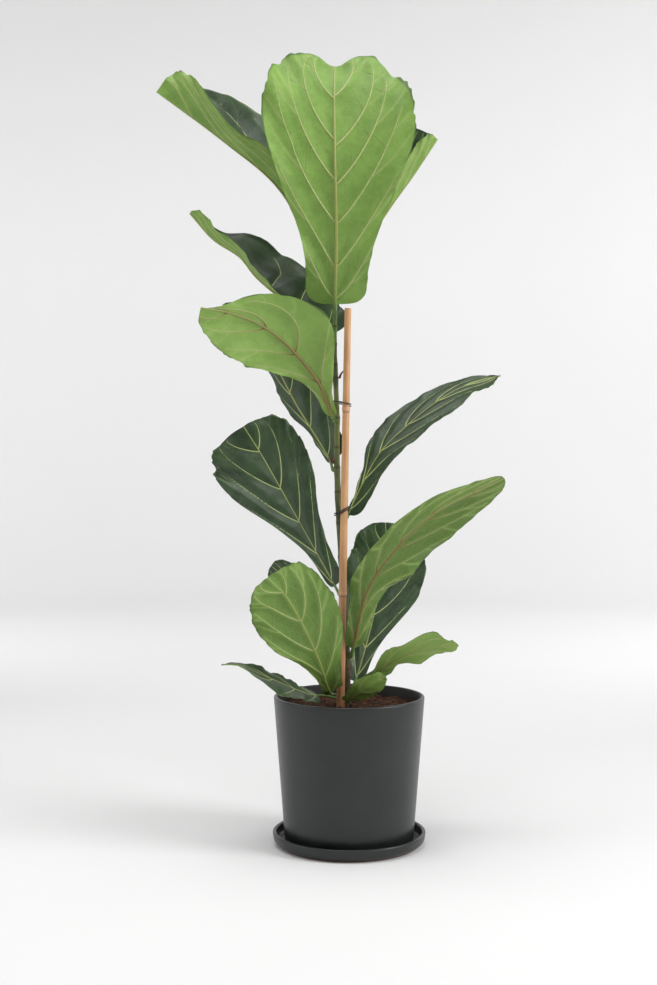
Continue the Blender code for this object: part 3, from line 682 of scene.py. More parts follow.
class Leaf:
    """A blade on a stalk, as lengths in metres and angles in degrees.

    node is the height at which the stalk leaves the stem. midrib holds points of the stalk and midrib from
    the stem's centre there, and the first gives only the side of the stem. roll turns the upper side about
    the midrib from the front (0) to the back (180). fold and curl give, for the left and right half, how far
    it rises from the midrib and how much more by its edge. left and right are the half's width, its neck,
    where it is widest, and how blunt it is. notch is how far the blade runs past the midrib's tip, and how
    far out it does so on the left and on the right, as shares of the half's width. wave is the height, number
    and start of its edge's waves, and stalk the share of the length that is stalk.

    pairs counts its side veins and sweep tells how far they lean toward the tip. stout thickens them, and
    brown tells how far they have browned. puff raises the blade between them, and shade makes it darker
    (below 0) or paler (above 0). That is partly the leaf's own tone and partly painted light and shade,
    as on the blade painted paler for light shining through it.
    """

    def __init__(self, node, midrib, roll, fold, curl, left, right, notch=(0, 1, 1), wave=(0, 0, 0),
                 stalk=0.05, pairs=5, sweep=1.15, stout=1.0, brown=0.0, puff=1.0, shade=0.0):
        self.node, self.fold, self.curl, self.left, self.right = node, fold, curl, left, right
        self.notch, self.wave, self.stalk = notch, wave, stalk
        self.pairs, self.sweep, self.stout, self.brown = pairs, sweep, stout, brown
        self.puff, self.shade = puff, shade
        midrib = np.array(midrib, float)
        outward = unit(midrib[0] * (1, 1, 0))
        midrib[0] = outward * stem_radius(node)
        slant = 1 - (unit(midrib[1] - midrib[0]) @ outward) ** 2
        midrib[0] += outward * (CLEARANCE + STALK_RADIUS * np.sqrt(slant) * 1.05)
        points = smooth(midrib + stem_centre(node), np.linspace(0, 1, 400))
        length = np.concatenate(((0,), np.cumsum(np.linalg.norm(np.diff(points, axis=0), axis=1))))
        self.length = length[-1]
        self.share = np.linspace(0, 1, 241)
        even = self.share * self.length
        self.centre = np.stack([np.interp(even, length, points[:, k]) for k in range(3)], 1)
        self.along = unit(np.gradient(self.centre, axis=0))
        front = unit(FRONT - (self.along @ FRONT)[:, None] * self.along)
        turn = np.radians(smooth(roll, self.share))[:, None]
        self.upper = np.cos(turn) * front + np.sin(turn) * np.cross(self.along, front)
        self.side = np.cross(self.along, self.upper)

    def frame(self, along):
        """The midrib's point, upper direction and side direction at shares of the blade's length."""
        place = self.stalk + along * (1 - self.stalk)
        inside = np.clip(place, 0, 1)
        columns = (self.centre, self.along, self.upper, self.side)
        read = [np.stack([np.interp(inside, self.share, c[:, k]) for k in range(3)], -1) for c in columns]
        centre = read[0] + unit(read[1]) * ((place - inside) * self.length)[..., None]
        return centre, unit(read[2]), unit(read[3])

    def pattern(self, line, across):
        """The flat pattern at a cross line and across it: the share along, the distance out, the half's width
        and the margin's share of it."""
        right = across > 0
        part = np.abs(across)
        left_margin = margin(line, *self.left[1:], *self.notch[:2])
        right_margin = margin(line, *self.right[1:], *self.notch[::2])
        start, end, spread = (np.where(right, r, m) for r, m in zip(right_margin, left_margin))
        width = np.where(right, self.right[0], self.left[0])
        bend = start + 0.3 * (end - start)
        along = (1 - part) ** 2 * start + 2 * part * (1 - part) * bend + part**2 * end
        out = (2 * part * (1 - part) * 0.55 + part**2) * spread * width
        return along, out, width, spread

    def flat(self, line, across):
        """The flat pattern in metres: out to the right and along the midrib."""
        along, out, _, _ = self.pattern(line, across)
        return np.stack((np.where(across > 0, out, -out), along * self.length * (1 - self.stalk)), -1)

    def point(self, line, across, lift):
        """The bent blade at a cross line and across it, raised by lift toward its upper side."""
        along, out, width, spread = self.pattern(line, across)
        right = across > 0
        centre, upper, side = self.frame(along)
        share = np.clip(along, 0, 1)
        fold, curl = (
            np.radians(np.where(right, smooth(pair[1], share), smooth(pair[0], share)))
            for pair in (self.fold, self.curl)
        )
        curl = np.where(np.abs(curl) < 0.001, 0.001, curl)
        tilt = fold + curl * out / width
        radius = width / curl
        height, count, begin = self.wave
        wave = height * across**2 * np.sin(2 * np.pi * (count * line + begin)) * np.clip(spread * 1.4, 0, 1)
        sideways = radius * (np.sin(tilt) - np.sin(fold)) - (wave + lift) * np.sin(tilt)
        raised = radius * (np.cos(fold) - np.cos(tilt)) + (wave + lift) * np.cos(tilt)
        return centre + side * (np.where(right, 1, -1) * sideways)[..., None] + upper * raised[..., None]


# %% The fifteen leaves
LEAVES = {
    "leaf_top": Leaf(
        node=0.5695,
        midrib=[(0, -0.01, 0), (0, -0.02, 0.02), (0.002, -0.045, 0.10), (0, -0.065, 0.20),
                (-0.001, -0.055, 0.29), (0, -0.035, 0.345)],
        roll=(180, 180), fold=(FLAT, FLAT), curl=((0, -8, -12, -20), (0, -8, -12, -20)),
        left=(0.114, 0.40, 0.76, 0.72), right=(0.101, 0.42, 0.80, 0.60), notch=(0.058, 0.74, 1.12),
        wave=(0.003, 4, 0.1), stalk=0.04, pairs=6, sweep=1.2, stout=1.4,
    ),
    "leaf_high_left": Leaf(
        node=0.5825,
        midrib=[(-0.01, 0.008, 0), (-0.022, 0.015, 0.06), (-0.081, 0.04, 0.172), (-0.163, 0.052, 0.245),
                (-0.265, 0.05, 0.319)],
        roll=(90, 90, 90, 95),
        fold=((50, 50, 20, 80), (50, 55, 55, 50)), curl=((0, 0, 0, 10), (0, 10, 10, 20)),
        left=(0.052, 0.5, 0.85, 0.3), right=(0.086, 0.3, 0.58, 1.1), wave=(0.004, 2.2, 0.45),
        stalk=0.12, pairs=6,
    ),
    "leaf_high_right": Leaf(
        node=0.5875,
        midrib=[(0.01, 0.006, 0), (0.026, 0.014, 0.05), (0.076, 0.032, 0.132), (0.117, 0.042, 0.19),
                (0.152, 0.042, 0.242)],
        roll=(-90, -90), fold=((60, 60, 60, 80), (50, 50)), curl=(FLAT, FLAT),
        left=(0.050, 0.3, 0.85, 0.3), right=(0.026, 0.5, 0.8, 0.35), stalk=0.15,
    ),
    "leaf_upper_left": Leaf(
        node=0.5195,
        midrib=[(-0.01, 0.006, 0), (-0.02, 0.015, 0.025), (-0.109, 0.055, 0.102), (-0.142, 0.073, 0.141),
                (-0.183, 0.082, 0.169), (-0.219, 0.088, 0.209)],
        roll=(45, 45, 45, 60), fold=((50, 50, 60, 85), (20, 30, 10, -5)), curl=(FLAT, (0, -20, 0, 0)),
        left=(0.030, 0.5, 0.7, 0.7), right=(0.070, 0.75, 0.26, 1.8), stalk=0.06,
    ),
    "leaf_left_front": Leaf(
        node=0.4125,
        midrib=[(-0.006, -0.009, 0), (-0.012, -0.022, 0.02), (-0.028, -0.039, 0.055), (-0.064, -0.062, 0.097),
                (-0.099, -0.085, 0.125), (-0.141, -0.104, 0.142), (-0.187, -0.118, 0.15)],
        roll=(170, 170), fold=((-30, -5, 0, 0), FLAT), curl=((0, -10, -20, -20), (0, -10, -20, -20)),
        left=(0.070, 0.14, 0.47, 4.2), right=(0.060, 0.18, 0.66, 0.7), wave=(0.003, 4, 0.3), stalk=0.04,
        stout=1.5, brown=1.0, shade=0.5,
    ),
    "leaf_left_back": Leaf(
        node=0.3405,
        midrib=[(-0.01, 0.003, 0), (-0.015, 0.014, 0.022), (-0.06, 0.044, 0.096), (-0.101, 0.074, 0.169),
                (-0.174, 0.097, 0.252)],
        roll=(-10, -10), fold=((-35, -35, -35, -10), (5, 5)), curl=((-10, -10), (10, 10)),
        left=(0.024, 0.3, 0.5, 1.5), right=(0.060, 0.6, 0.6, 1.5),
    ),
    "leaf_broad_left": Leaf(
        node=0.1595,
        midrib=[(-0.01, 0.003, 0), (-0.024, 0.024, 0.03), (-0.077, 0.078, 0.121), (-0.126, 0.126, 0.204),
                (-0.155, 0.142, 0.249)],
        roll=(0, 0), fold=((10, 10, 5, 0), (10, 10, 5, 0)), curl=((10, 10, -10, -20), (10, 10, -10, -20)),
        left=(0.080, 0.13, 0.85, 0.36), right=(0.066, 0.28, 0.80, 0.6), wave=(0.003, 4, 0.1),
    ),
    "leaf_low_front": Leaf(
        node=0.0105,
        midrib=[(-0.01, 0.001, 0), (-0.0195, -0.007, 0.004), (-0.026, -0.036, 0.016),
                (-0.044, -0.08, 0.075), (-0.079, -0.118, 0.149), (-0.108, -0.146, 0.185)],
        roll=(180, 180), fold=(FLAT, FLAT), curl=(FLAT, FLAT),
        left=(0.057, 0.38, 0.66, 0.6), right=(0.060, 0.16, 0.68, 0.6), wave=(0.003, 4, 0.1), stalk=0.11,
        puff=1.3, shade=-0.45,
    ),
    "leaf_low_back": Leaf(
        node=0.0475,
        midrib=[(-0.01, 0.006, 0), (-0.013, 0.026, 0.026), (-0.042, 0.054, 0.07), (-0.085, 0.084, 0.122),
                (-0.114, 0.105, 0.146)],
        roll=(-10, -10), fold=(FLAT, FLAT), curl=(FLAT, FLAT),
        left=(0.030, 0.3, 0.6, 0.7), right=(0.030, 0.12, 0.6, 0.7),
        pairs=4,
    ),
    "leaf_right_front": Leaf(
        node=0.0695,
        midrib=[(0.01, -0.005, 0), (0.012, -0.022, 0.024), (0.036, -0.062, 0.115), (0.110, -0.118, 0.205),
                (0.209, -0.165, 0.26)],
        roll=(180, 180), fold=((20, 35, 35, 40), (-10, 30, 45, 45)), curl=(FLAT, FLAT),
        left=(0.056, 0.35, 0.46, 1.2), right=(0.034, 0.45, 0.38, 1.3), wave=(0.002, 4, 0.1),
        pairs=6, stout=1.2, brown=1.0, shade=-0.50,
    ),
    "leaf_right_back": Leaf(
        node=0.0195,
        midrib=[(0.01, 0.006, 0), (0.019, 0.016, 0.027), (0.044, 0.056, 0.111), (0.062, 0.093, 0.184),
                (0.062, 0.118, 0.240)],
        roll=(0, 0), fold=(FLAT, FLAT), curl=(FLAT, FLAT),
        left=(0.058, 0.28, 0.66, 0.6), right=(0.062, 0.2, 0.70, 0.8),
    ),
    "leaf_right_upper": Leaf(
        node=0.2595,
        midrib=[(0.01, 0.004, 0), (0.018, 0.016, 0.028), (0.057, 0.050, 0.102), (0.101, 0.075, 0.147),
                (0.150, 0.100, 0.186), (0.196, 0.118, 0.211), (0.250, 0.130, 0.226)],
        roll=(-30, -40, -50, -50), fold=(FLAT, FLAT), curl=(FLAT, FLAT),
        left=(0.038, 0.12, 0.48, 2.0), right=(0.040, 0.60, 0.62, 1.8),
        pairs=6,
    ),
    "leaf_low_right": Leaf(
        node=0.0095,
        midrib=[(0.01, -0.001, 0), (0.034, -0.011, 0.026), (0.07, -0.032, 0.058), (0.118, -0.060, 0.081),
                (0.156, -0.076, 0.085)],
        roll=(-140, -140), fold=(FLAT, FLAT), curl=(FLAT, FLAT),
        left=(0.024, 0.45, 0.6, 0.9), right=(0.026, 0.45, 0.6, 0.9), wave=(0.004, 3, 0.1), stalk=0.1,
        pairs=4, shade=1.0,
    ),
    "leaf_small_front": Leaf(
        node=0.0035,
        midrib=[(0.006, -0.009, 0), (0.004, -0.028, 0.006), (0.012, -0.038, 0.014), (0.028, -0.05, 0.028),
                (0.054, -0.056, 0.046)],
        roll=(-150, -150), fold=(FLAT, FLAT), curl=(FLAT, FLAT),
        left=(0.022, 0.6, 0.5, 0.9), right=(0.020, 0.6, 0.5, 0.9), stalk=0.22,
        pairs=3, shade=0.3,
    ),
    "leaf_rim_left": Leaf(
        node=0.0055,
        midrib=[(-0.01, 0.007, 0), (-0.03, 0.003, 0.005), (-0.06, -0.024, 0.014), (-0.111, -0.064, 0.042),
                (-0.148, -0.076, 0.06), (-0.175, -0.086, 0.064)],
        roll=(60, 65, 75, 100), fold=(FLAT, FLAT), curl=(FLAT, FLAT),
        left=(0.030, 0.55, 0.45, 0.9), right=(0.020, 0.45, 0.5, 0.9), stalk=0.2,
        pairs=4,
    ),
}
lengths = [round(leaf.length, 3) for leaf in LEAVES.values()]
print(len(LEAVES), "leaves, from", min(lengths), "to", max(lengths), "m long with their stalks")

# %% [markdown]
# ## Stem, ties and scales
# With the leaves known, the stem gets a ring at each stalk. The ties are plastic-coated wire wound round the
# stem and the stake. Dry scales are what is left of the sheaths that wrapped each bud.

# %% The stem
nodes = [leaf.node for leaf in LEAVES.values()]
stem_steps = np.linspace(-0.012, STEM_LENGTH + 0.018, 420)
ring_heights = nodes + [0.10, 0.21, 0.305, 0.37, 0.47, 0.49, 0.545]
rings = sum(np.exp(-(((stem_steps - height - 0.004) / 0.0016) ** 2)) for height in ring_heights)
swell = sum(np.exp(-(((stem_steps - height) / 0.008) ** 2)) for height in ring_heights)
stem_radii = stem_radius(stem_steps) + 0.00035 * np.clip(rings, 0, 1) + 0.0005 * np.clip(swell, 0, 1)
stem_radii += [0.0003 * noise.noise(Vector((0, 3, height * 60))) for height in stem_steps]
bud = np.clip((stem_steps - STEM_LENGTH + 0.004) / 0.022, 0, 1)
stem_radii *= np.sqrt(1 - bud**2) * 0.98 + 0.02
stem_rings = rings_along([stem_centre(height) for height in stem_steps], stem_radii, 22)
stem_mesh = rolled(stem_rings, values={"ring": np.repeat(np.clip(rings, 0, 1)[:, None], 22, 1)})
stem = new_piece("stem", stem_mesh, [bark_look], 60)
print("stem:", len(stem.data.polygons), "faces,", len(ring_heights), "rings")

# %% Coated wire and the ties
wire_paint = Paint("coated_wire", Specular_IOR_Level=0.5)
wire_cloud = wire_paint.noise(wire_paint.place(), 0.003)
wire_look = wire_paint.finish(
    wire_paint.mix(wire_cloud, (0.006, 0.006, 0.007), (0.016, 0.016, 0.017)), wire_cloud * 0.2 + 0.22,
    wire_paint.noise(wire_paint.place(), 0.0006), 0.00006,
)
TIES = {"tie_upper": (0.4375, 1.25, 0.003, -0.25), "tie_lower": (0.2755, 2.1, 0.0028, 0.45)}


def wire_path(height, turns, climb, slope):
    """A wire wound round the stem and the stake together. It climbs at each turn and slopes to the right."""
    reach = WIRE_RADIUS * 1.15 + CLEARANCE * 2
    posts = ((stem_centre(height), stem_radius(height)), (stake_centre(height), stake_radius(height)))
    angles = 2 * np.pi * np.arange(round(turns * 24) + 1) / 24 - 0.5
    path = []
    for angle in angles:
        way = np.array((np.cos(angle), np.sin(angle), 0))
        post, radius = max(posts, key=lambda item: item[0] @ way + item[1])
        path.append(post + way * (radius + reach))
        path[-1][2] += climb * (angle + 0.5) / (2 * np.pi) + slope * (path[-1][0] - posts[0][0][0])
    return smooth(path, np.linspace(0, 1, 8 * len(path)))


for name, tie in TIES.items():
    path = wire_path(*tie)
    tie_mesh = rod(path, np.full(len(path), WIRE_RADIUS), 12)
    made = new_piece(name, tie_mesh, [wire_look], 60)
    print(name, "faces:", len(made.data.polygons))

# %% Dry scales
scale_paint = Paint("dry_scale", Specular_IOR_Level=0.35)
scale_cloud = scale_paint.noise(scale_paint.place((1, 1, 0.2)), 0.0014, 3)
scale_look = scale_paint.finish(
    scale_paint.mix(scale_cloud.step(0.35, 0.7), (0.050, 0.010, 0.012), (0.17, 0.055, 0.040)),
    scale_cloud * 0.3 + 0.45, scale_cloud, 0.0003,
)
SCALES = {"scale_high": (0.5135, -2.2), "scale_middle": (0.4735, -0.2), "scale_low": (0.3495, -2.6)}
for name, (height, angle) in SCALES.items():
    way = np.array((np.cos(angle), np.sin(angle), 0))
    foot = stem_centre(height) + way * (stem_radius(height) + 0.0017 + CLEARANCE * 3)
    scale_mesh = bmesh.new()
    for side, tall in ((-1, 1.0), (1, 0.75)):
        aside = np.cross(way, (0, 0, 1)) * side
        share = np.linspace(0, 1, 18)[:, None]
        path = foot + way * 0.006 * share**2 + (0, 0, 0.0125 * tall) * share
        path = path + aside * (0.0006 + 0.0022 * share)
        width = 0.0017 * np.interp(share[:, 0], (0, 0.15, 0.4, 0.7, 1), (0.8, 1, 0.9, 0.6, 0.12))
        join(scale_mesh, rod(path, width, 12))
    made = new_piece(name, scale_mesh, [scale_look], 60)
    print(name, "faces:", len(made.data.polygons))

# %% [markdown]
# ## Leaf finishes
# The upper side is dark, waxy and glossy. The underside is paler and matt, with a net of small veins. The
# patterns read the leaf's own flat pattern, which each leaf keeps as a UV map in metres, so they follow the
# blade however it bends. Points also carry how far they are from the nearest vein and from the margin.


# %% Upper side and underside
def blade_paint(name, constants, dark, light, net, halo, edge, net_share, rough, coat=None):
    """A blade's finish: clouds between two greens, a net of fine veins, and paler bands along the veins."""
    paint = Paint(name, **constants)
    flat = paint.node("ShaderNodeUVMap", {"uv_map": "flat_pattern"})
    away = paint.attribute("away")
    cloud = paint.noise(flat, 0.035, 4)
    mottle = paint.noise(flat, 0.007, 3, 0.6)
    fine = paint.cells(flat, 0.0042)
    wide = paint.cells(flat, 0.0110)
    lines = fine.step(0.07, 0.0) * 0.35 + wide.step(0.04, 0.0) * 0.5
    colour = paint.mix((cloud * 0.7 + mottle * 0.3).step(0.35, 0.65), dark, light)
    # Painted light and shade: the leaf's shade value pales the blade toward the halo green above 0 and
    # darkens it below 0. This is partly the leaf's own tone and partly a stand-in for how it is lit, such as
    # light shining through it.
    shade = paint.attribute("shade")
    colour = paint.mix(shade.step(0, 1) * 0.6, colour, halo)
    colour = paint.mix(shade.step(0, -1), colour, [0.35 * part for part in dark])
    colour = paint.mix(lines * net_share, colour, net)
    colour = paint.mix(away.step(0.0048, 0.0008) * 0.45, colour, halo)
    colour = paint.mix(paint.attribute("edge").step(0.975, 1.0) * 0.7, colour, edge)
    speck_cells = paint.cells(flat, 0.030, "F1")
    speck_pick = paint.cells(flat, 0.030, "F1", "Color")
    picked = paint.node("ShaderNodeSeparateColor", None, {0: speck_pick}, "Red").step(0.70, 0.72)
    specks = speck_cells.step(0.050, 0.032) * picked
    colour = paint.mix(specks * 0.75, colour, (0.10, 0.055, 0.02))
    height = mottle * 0.35 - lines * 0.5 - away.step(0.0030, 0.0) * 0.6
    gloss = cloud * 0.14 + mottle * 0.12 + lines * 0.10 + rough
    wax = None if coat is None else cloud.step(0.25, 0.75) * coat
    return paint.finish(colour, gloss, height, 0.0004, wax)


upper_look = blade_paint(
    "leaf_upper", {"Specular_IOR_Level": 0.42, "Coat_Roughness": 0.26},
    dark=(0.010, 0.030, 0.007), light=(0.022, 0.056, 0.012), net=(0.034, 0.070, 0.018),
    halo=(0.040, 0.080, 0.022), edge=(0.10, 0.14, 0.05), net_share=0.4, rough=0.30, coat=0.24,
)
under_look = blade_paint(
    "leaf_under", {"Specular_IOR_Level": 0.35},
    dark=(0.150, 0.275, 0.048), light=(0.205, 0.350, 0.068), net=(0.250, 0.395, 0.088),
    halo=(0.280, 0.430, 0.105), edge=(0.05, 0.09, 0.025), net_share=0.5, rough=0.40,
)

# %% Veins and stalks
vein_paint = Paint("leaf_vein", Specular_IOR_Level=0.4)
vein_cloud = vein_paint.noise(vein_paint.place(), 0.004, 3)
vein_tint = vein_paint.attribute("tint", "Color")
vein_shade = vein_paint.mix(vein_cloud.step(0.2, 0.9) * 0.35, vein_tint, (0.16, 0.20, 0.06))
vein_grain = vein_paint.noise(vein_paint.place(), 0.0012)
vein_look = vein_paint.finish(vein_shade, vein_cloud * 0.25 + 0.32, vein_grain, 0.00015)

PALE = np.array((0.44, 0.50, 0.20))
RIB = np.array((0.30, 0.32, 0.085))
BROWN = np.array((0.20, 0.130, 0.035))
STALK_GREEN = np.array((0.105, 0.215, 0.045))

# %% [markdown]
# ## Veins
# A fig's veins run in ranks: the midrib, a few strong side veins that sweep forward, forks from those near
# the margin, and a ladder of thin ones across each gap. They are drawn on the flat pattern and bent with the
# blade, so a leaf needs only its number of pairs. Each vein is a tapered rod that stands out below the blade
# and just breaks its upper side.


# %% Where the veins run
def side_veins(leaf, hand):
    """The side veins, each as (cross line, across), in ranks: strong ones, forks, and the thin ladder."""
    strong, forks, ladder = [], [], []
    share = np.linspace(0, 1, 26)
    for side in (-1, 1):
        starts = np.linspace(0.10, 0.87, leaf.pairs) + side * hand.uniform(0, 0.012)
        sweeps = []
        for start in starts:
            start += hand.uniform(-0.015, 0.015)
            sweep = 0.06 + 0.19 * np.sin(np.pi * np.clip((start - 0.02) / 0.93, 0, 1))
            sweep = (sweep + hand.uniform(-0.02, 0.02)) * leaf.sweep
            sweeps.append((start, min(sweep, 0.985 - start)))
        lines = [lambda q, a=start, b=sweep: a + b * q**1.35 for start, sweep in sweeps]
        for k, run in enumerate(lines):
            reach = hand.uniform(0.86, 0.94)
            strong.append((run(share * reach), side * share * reach))
            for leave in (hand.uniform(0.42, 0.55), hand.uniform(0.68, 0.78)):
                q = leave + (0.95 - leave) * share[::2]
                drop = hand.uniform(-0.05, 0.02)
                forks.append((run(leave) + drop * (q - leave) + 0.10 * (q - leave) ** 2, side * q))
            if k + 1 == len(lines):
                continue
            for leave in np.linspace(0.2, 0.80, 4) + [hand.uniform(-0.05, 0.05) for _ in range(4)]:
                end, full = leave * hand.uniform(0.70, 0.85), hand.choice((0.4, 0.6, 1.0))
                part = share[::3] * full
                wobble = 0.006 * np.sin(part * 5 + hand.uniform(0, 6))
                across = leave + (end - leave) * part
                ladder.append((run(leave) + (lines[k + 1](end) - run(leave)) * part + wobble, side * across))
            middle = (run(0.0) + lines[k + 1](0.0)) / 2 + hand.uniform(-0.01, 0.01)
            q = share[::3] * hand.uniform(0.2, 0.4)
            ladder.append((middle + 0.10 * q, side * q))
    return strong, forks, ladder


# %% How far a spot is from the veins
def tree_of(leaf, paths):
    """A lookup of the points along some veins, on the flat pattern."""
    spots = np.concatenate([leaf.flat(*path) for path in paths])
    tree = kdtree.KDTree(len(spots))
    for number, (x, y) in enumerate(spots):
        tree.insert((x, y, 0), number)
    tree.balance()
    return tree


def distance(tree, spots):
    return np.array([tree.find((x, y, 0))[2] for x, y in spots.reshape(-1, 2)]).reshape(spots.shape[:-1])


# %% [markdown]
# ## The blade
# The blade is one rolled sheet: its upper side, its lower side and a thin rim between. It is laid as a grid
# over the flat pattern, with more lines at the stalk and the tip, where the outline turns. It puffs up
# between the strong veins, and its margin waves and is never quite even, or it would look moulded.

# %% The sizes of a blade
THICK = 0.0003  # half the blade's thickness
FULL_LENGTH = 0.36  # puffs, waves and veins are given for a leaf of this length, and shorter leaves have less
FACE_SIDE = 0.0021
PUFF_HEIGHT, PUFF_REACH = 0.0019, 0.0085
EDGE_WAVES = ((9, 0.0065, 3), (23, 0.0022, 7))  # pitch, height, and how near the margin it stays
RAGGED = ((13, 0.045), (37, 0.030))  # pitch, and depth as a share of the half's width


# %% Its grid, its relief and its mesh
def blade_grid(leaf, seed):
    """The cross line and the place across it at each point of the grid, with a ragged margin."""
    rows = int(np.clip(leaf.length / FACE_SIDE, 60, 170))
    columns = int(np.clip((leaf.left[0] + leaf.right[0]) / FACE_SIDE, 30, 84)) // 2 * 2
    base, body = np.linspace(0, LOBE, 14)[:-1], np.linspace(LOBE, WAIST, rows // 2)[:-1]
    lines = np.concatenate((base, body, 1 - (1 - WAIST) * np.linspace(1, 0, rows // 2) ** 2))
    line, across = np.meshgrid(lines, np.linspace(-1, 1, columns + 1), indexing="ij")
    ragged = np.array([
        [sum(depth * noise.noise(Vector((spot * pitch, side, seed))) for pitch, depth in RAGGED)
         for side in (-3.0, 3.0)]
        for spot in lines
    ])
    ragged *= (np.clip(lines / 0.06, 0, 1) * np.clip((1 - lines) / 0.05, 0, 1))[:, None]
    return line, across * (1 + np.where(across > 0, ragged[:, 1:], ragged[:, :1]) * np.abs(across) ** 5)


def relief_of(leaf, size, seed, main_tree):
    """A function of cross line and across: how far the blade stands off its smooth form."""

    def relief(line, across):
        spots = leaf.flat(line, across)
        gap = distance(main_tree, spots)
        rough = np.array([noise.noise(Vector((x * 70, y * 70, seed))) for x, y in spots.reshape(-1, 2)])
        height = PUFF_HEIGHT * size * leaf.puff * (1 - np.exp(-((gap / PUFF_REACH) ** 2)))
        ends = np.clip(line / 0.1, 0, 1) * np.clip((1 - line) / 0.04, 0, 1)
        places = list(zip(line.ravel(), np.sign(across).ravel()))
        for pitch, tall, power in EDGE_WAVES:
            wave = [noise.noise(Vector((spot * pitch, side * 5, seed))) for spot, side in places]
            height += tall * size * ends * np.abs(across) ** power * np.reshape(wave, line.shape)
        return height + 0.0005 * rough.reshape(line.shape) * np.clip(gap / 0.004, 0, 1)

    return relief


def around(values):
    """Values over the blade, laid round its upper side, one rim, its lower side and the other rim."""
    return np.concatenate((values, values[:, -1:], values[:, ::-1], values[:, :1]), 1)


def blade_mesh(leaf, relief, line, across, vein_tree):
    """The blade as a rolled sheet, with the values that its finishes read."""
    height = relief(line, across)
    thick = THICK * (np.clip(line / 0.01, 0, 1) * np.clip((1 - line) / 0.004, 0, 1))
    thick *= 1 - 0.45 * np.abs(across) ** 6
    top = leaf.point(line, across, height + thick)
    under = leaf.point(line, across, height - thick)
    rims = [leaf.point(line[:, k], across[:, k] * 1.004, height[:, k])[:, None] for k in (-1, 0)]
    rings = np.concatenate((top, rims[0], under[:, ::-1], rims[1]), 1)
    flat = leaf.flat(line, across)
    # shade goes to every point of the blade. The finishes paint it as the leaf's own tone, and partly as
    # painted light and shade.
    values = {
        "away": around(np.minimum(distance(vein_tree, flat), 0.02)),
        "edge": around(np.abs(across)),
        "shade": np.full(rings.shape[:2], float(leaf.shade)),
        "tint": np.zeros((*rings.shape[:2], 4)),
    }
    columns = line.shape[1] - 1
    return rolled(rings, [0] * columns + [1] * (columns + 4), values, around(flat))


# %% [markdown]
# ## Veins on the blade
# Every vein is a rod in the vein finish, thick at its root and drawn out to a thread. The strong ones are
# green where they leave the midrib and pale further out, or brown on an old leaf. The midrib and the stalk
# are one rod that starts inside the stem, so no gap shows where the leaf joins it.

# %% The sizes of veins, at the root and the tip
STRONG_VEIN, FORK_VEIN, LADDER_VEIN = (0.00125, 0.00034), (0.00056, 0.00018), (0.00026, 0.00010)
RIB_RADIUS, STALK_END_RADIUS = 0.00205, 0.00215
MIDRIB = (np.linspace(0, 1, 90), np.zeros(90))


# %% Rods on a leaf
def add_rod(mesh, path, radii, sides, tints):
    """Adds a rod in the vein finish, with one colour for each ring."""
    colours = np.ones((len(path), sides, 4))
    colours[..., :3] = np.asarray(tints)[:, None]
    join(mesh, rolled(rings_along(path, radii, sides), [2] * sides, {"tint": colours}))


def add_vein(mesh, leaf, relief, run, root, tip, tints, sink, sides):
    """Adds a tapered side vein. sink is how much of its radius it hangs below the blade's middle."""
    taper = np.interp(np.linspace(0, 1, len(run[0])), (0, 0.12, 0.92, 1), (1, 0.8, 0.12, 0.02))
    radii = (tip + (root - tip) * taper) * leaf.stout**0.5
    lift = relief(*run) - sink * radii - (0.0002 if sink > 0.5 else 0)
    add_rod(mesh, leaf.point(*run, lift), radii, sides, tints)


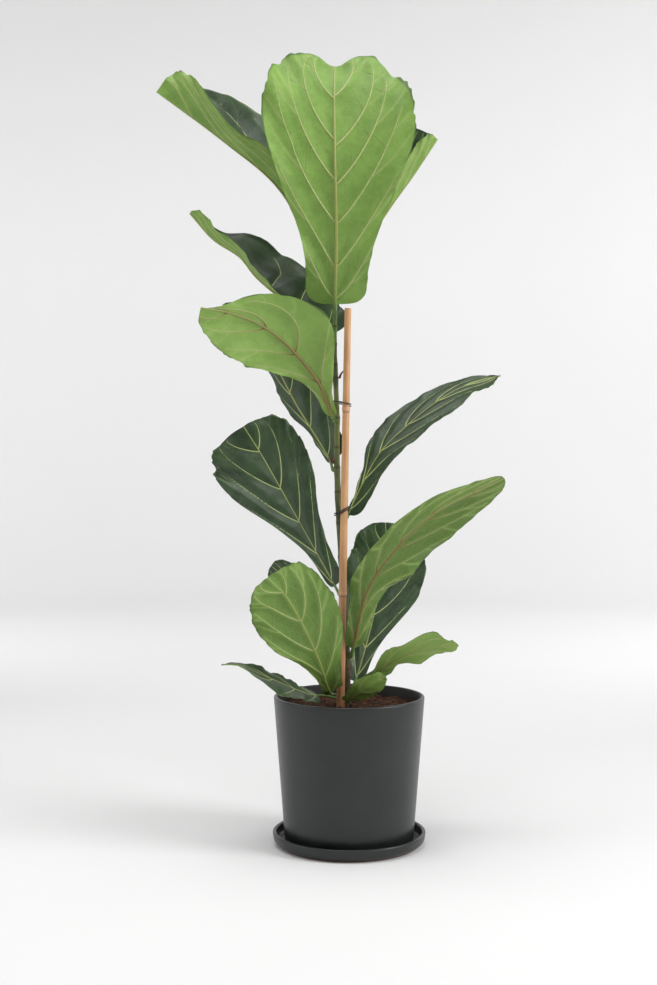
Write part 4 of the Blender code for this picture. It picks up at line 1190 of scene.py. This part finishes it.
def add_midrib(mesh, leaf, size):
    """Adds the stalk and the midrib as one rod, from inside the stem to the blade's tip."""
    stalk_line = np.linspace(-leaf.stalk / (1 - leaf.stalk), 0, 30)[:-1]
    stalk_centre, stalk_upper, _ = leaf.frame(stalk_line)
    stalk_share = np.linspace(0, 1, len(stalk_line))
    rib_radii = RIB_RADIUS * leaf.stout * (0.28 + 0.72 * (1 - MIDRIB[0]) ** 0.85) * min(size, 1)
    rib_path = leaf.point(*MIDRIB, -np.minimum(0.62 * rib_radii, rib_radii - 2 * THICK))
    root = stem_centre(leaf.node) * 0.35 + stalk_centre[0] * 0.65
    sunk = stalk_centre - stalk_upper * (0.62 * rib_radii[0] * stalk_share**2)[:, None]
    stalk_radii = STALK_END_RADIUS * leaf.stout * min(size, 1) * (1 + 0.45 * np.exp(-stalk_share / 0.10))
    path = np.vstack((root[None], sunk, rib_path))
    radii = np.concatenate((stalk_radii[:1], stalk_radii, rib_radii))
    share = np.concatenate((np.zeros(len(sunk) + 1), MIDRIB[0]))[:, None]
    colours = STALK_GREEN + (RIB - STALK_GREEN) * np.clip(share / 0.25, 0, 1)
    colours = colours + (BROWN - colours) * leaf.brown * np.clip(share * 8, 0, 1)
    colours = colours + (PALE - colours) * np.clip((share - 0.55) / 0.45, 0, 1) * 0.7
    add_rod(mesh, path, radii, 14, colours)


# %% A whole leaf
def leaf_piece(name, leaf):
    """The blade, its veins and its stalk as one piece."""
    hand = Random(name)
    size = np.sqrt(leaf.length / FULL_LENGTH)
    strong, forks, ladder = side_veins(leaf, hand)
    seed = hand.uniform(0, 90)
    relief = relief_of(leaf, size, seed, tree_of(leaf, [MIDRIB, *strong]))
    vein_tree = tree_of(leaf, [MIDRIB, *strong, *forks])
    mesh = blade_mesh(leaf, relief, *blade_grid(leaf, seed), vein_tree)
    for run in strong:
        share = np.linspace(0, 1, len(run[0]))[:, None]
        pale = PALE + (RIB - PALE) * np.exp(-share / 0.12) * 0.5
        pale = pale + (BROWN - pale) * leaf.brown * np.exp(-share / 0.35)
        add_vein(mesh, leaf, relief, run, STRONG_VEIN[0] * size, STRONG_VEIN[1], pale, 0.22, 8)
    for run in forks:
        tints = [PALE * 0.9] * len(run[0])
        add_vein(mesh, leaf, relief, run, FORK_VEIN[0] * size, FORK_VEIN[1], tints, 0.35, 6)
    for run in ladder:
        tints = [PALE * 0.75] * len(run[0])
        add_vein(mesh, leaf, relief, run, LADDER_VEIN[0] * size, LADDER_VEIN[1], tints, 0.9, 5)
    add_midrib(mesh, leaf, size)
    return new_piece(name, mesh, [upper_look, under_look, vein_look], 60)


# %% [markdown]
# ## The leaves, one by one
# The builder above is run for every leaf. The number of faces is printed, because a piece should stay under
# 200,000 triangles.

# %% Make the leaves
for name, leaf in LEAVES.items():
    made = leaf_piece(name, leaf)
    print(f"{name}: {len(made.data.polygons)} faces, {leaf.length:.3f} m")

# %% [markdown]
# ## Last look
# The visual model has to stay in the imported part's box, so both boxes are written down before the frame is
# checked.

# %% Sizes and finish
fine_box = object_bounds()
for label, box in (("packed", cad_box), ("fine", fine_box)):
    print(label, "box:", [round(number, 4) for corner in box for number in corner])
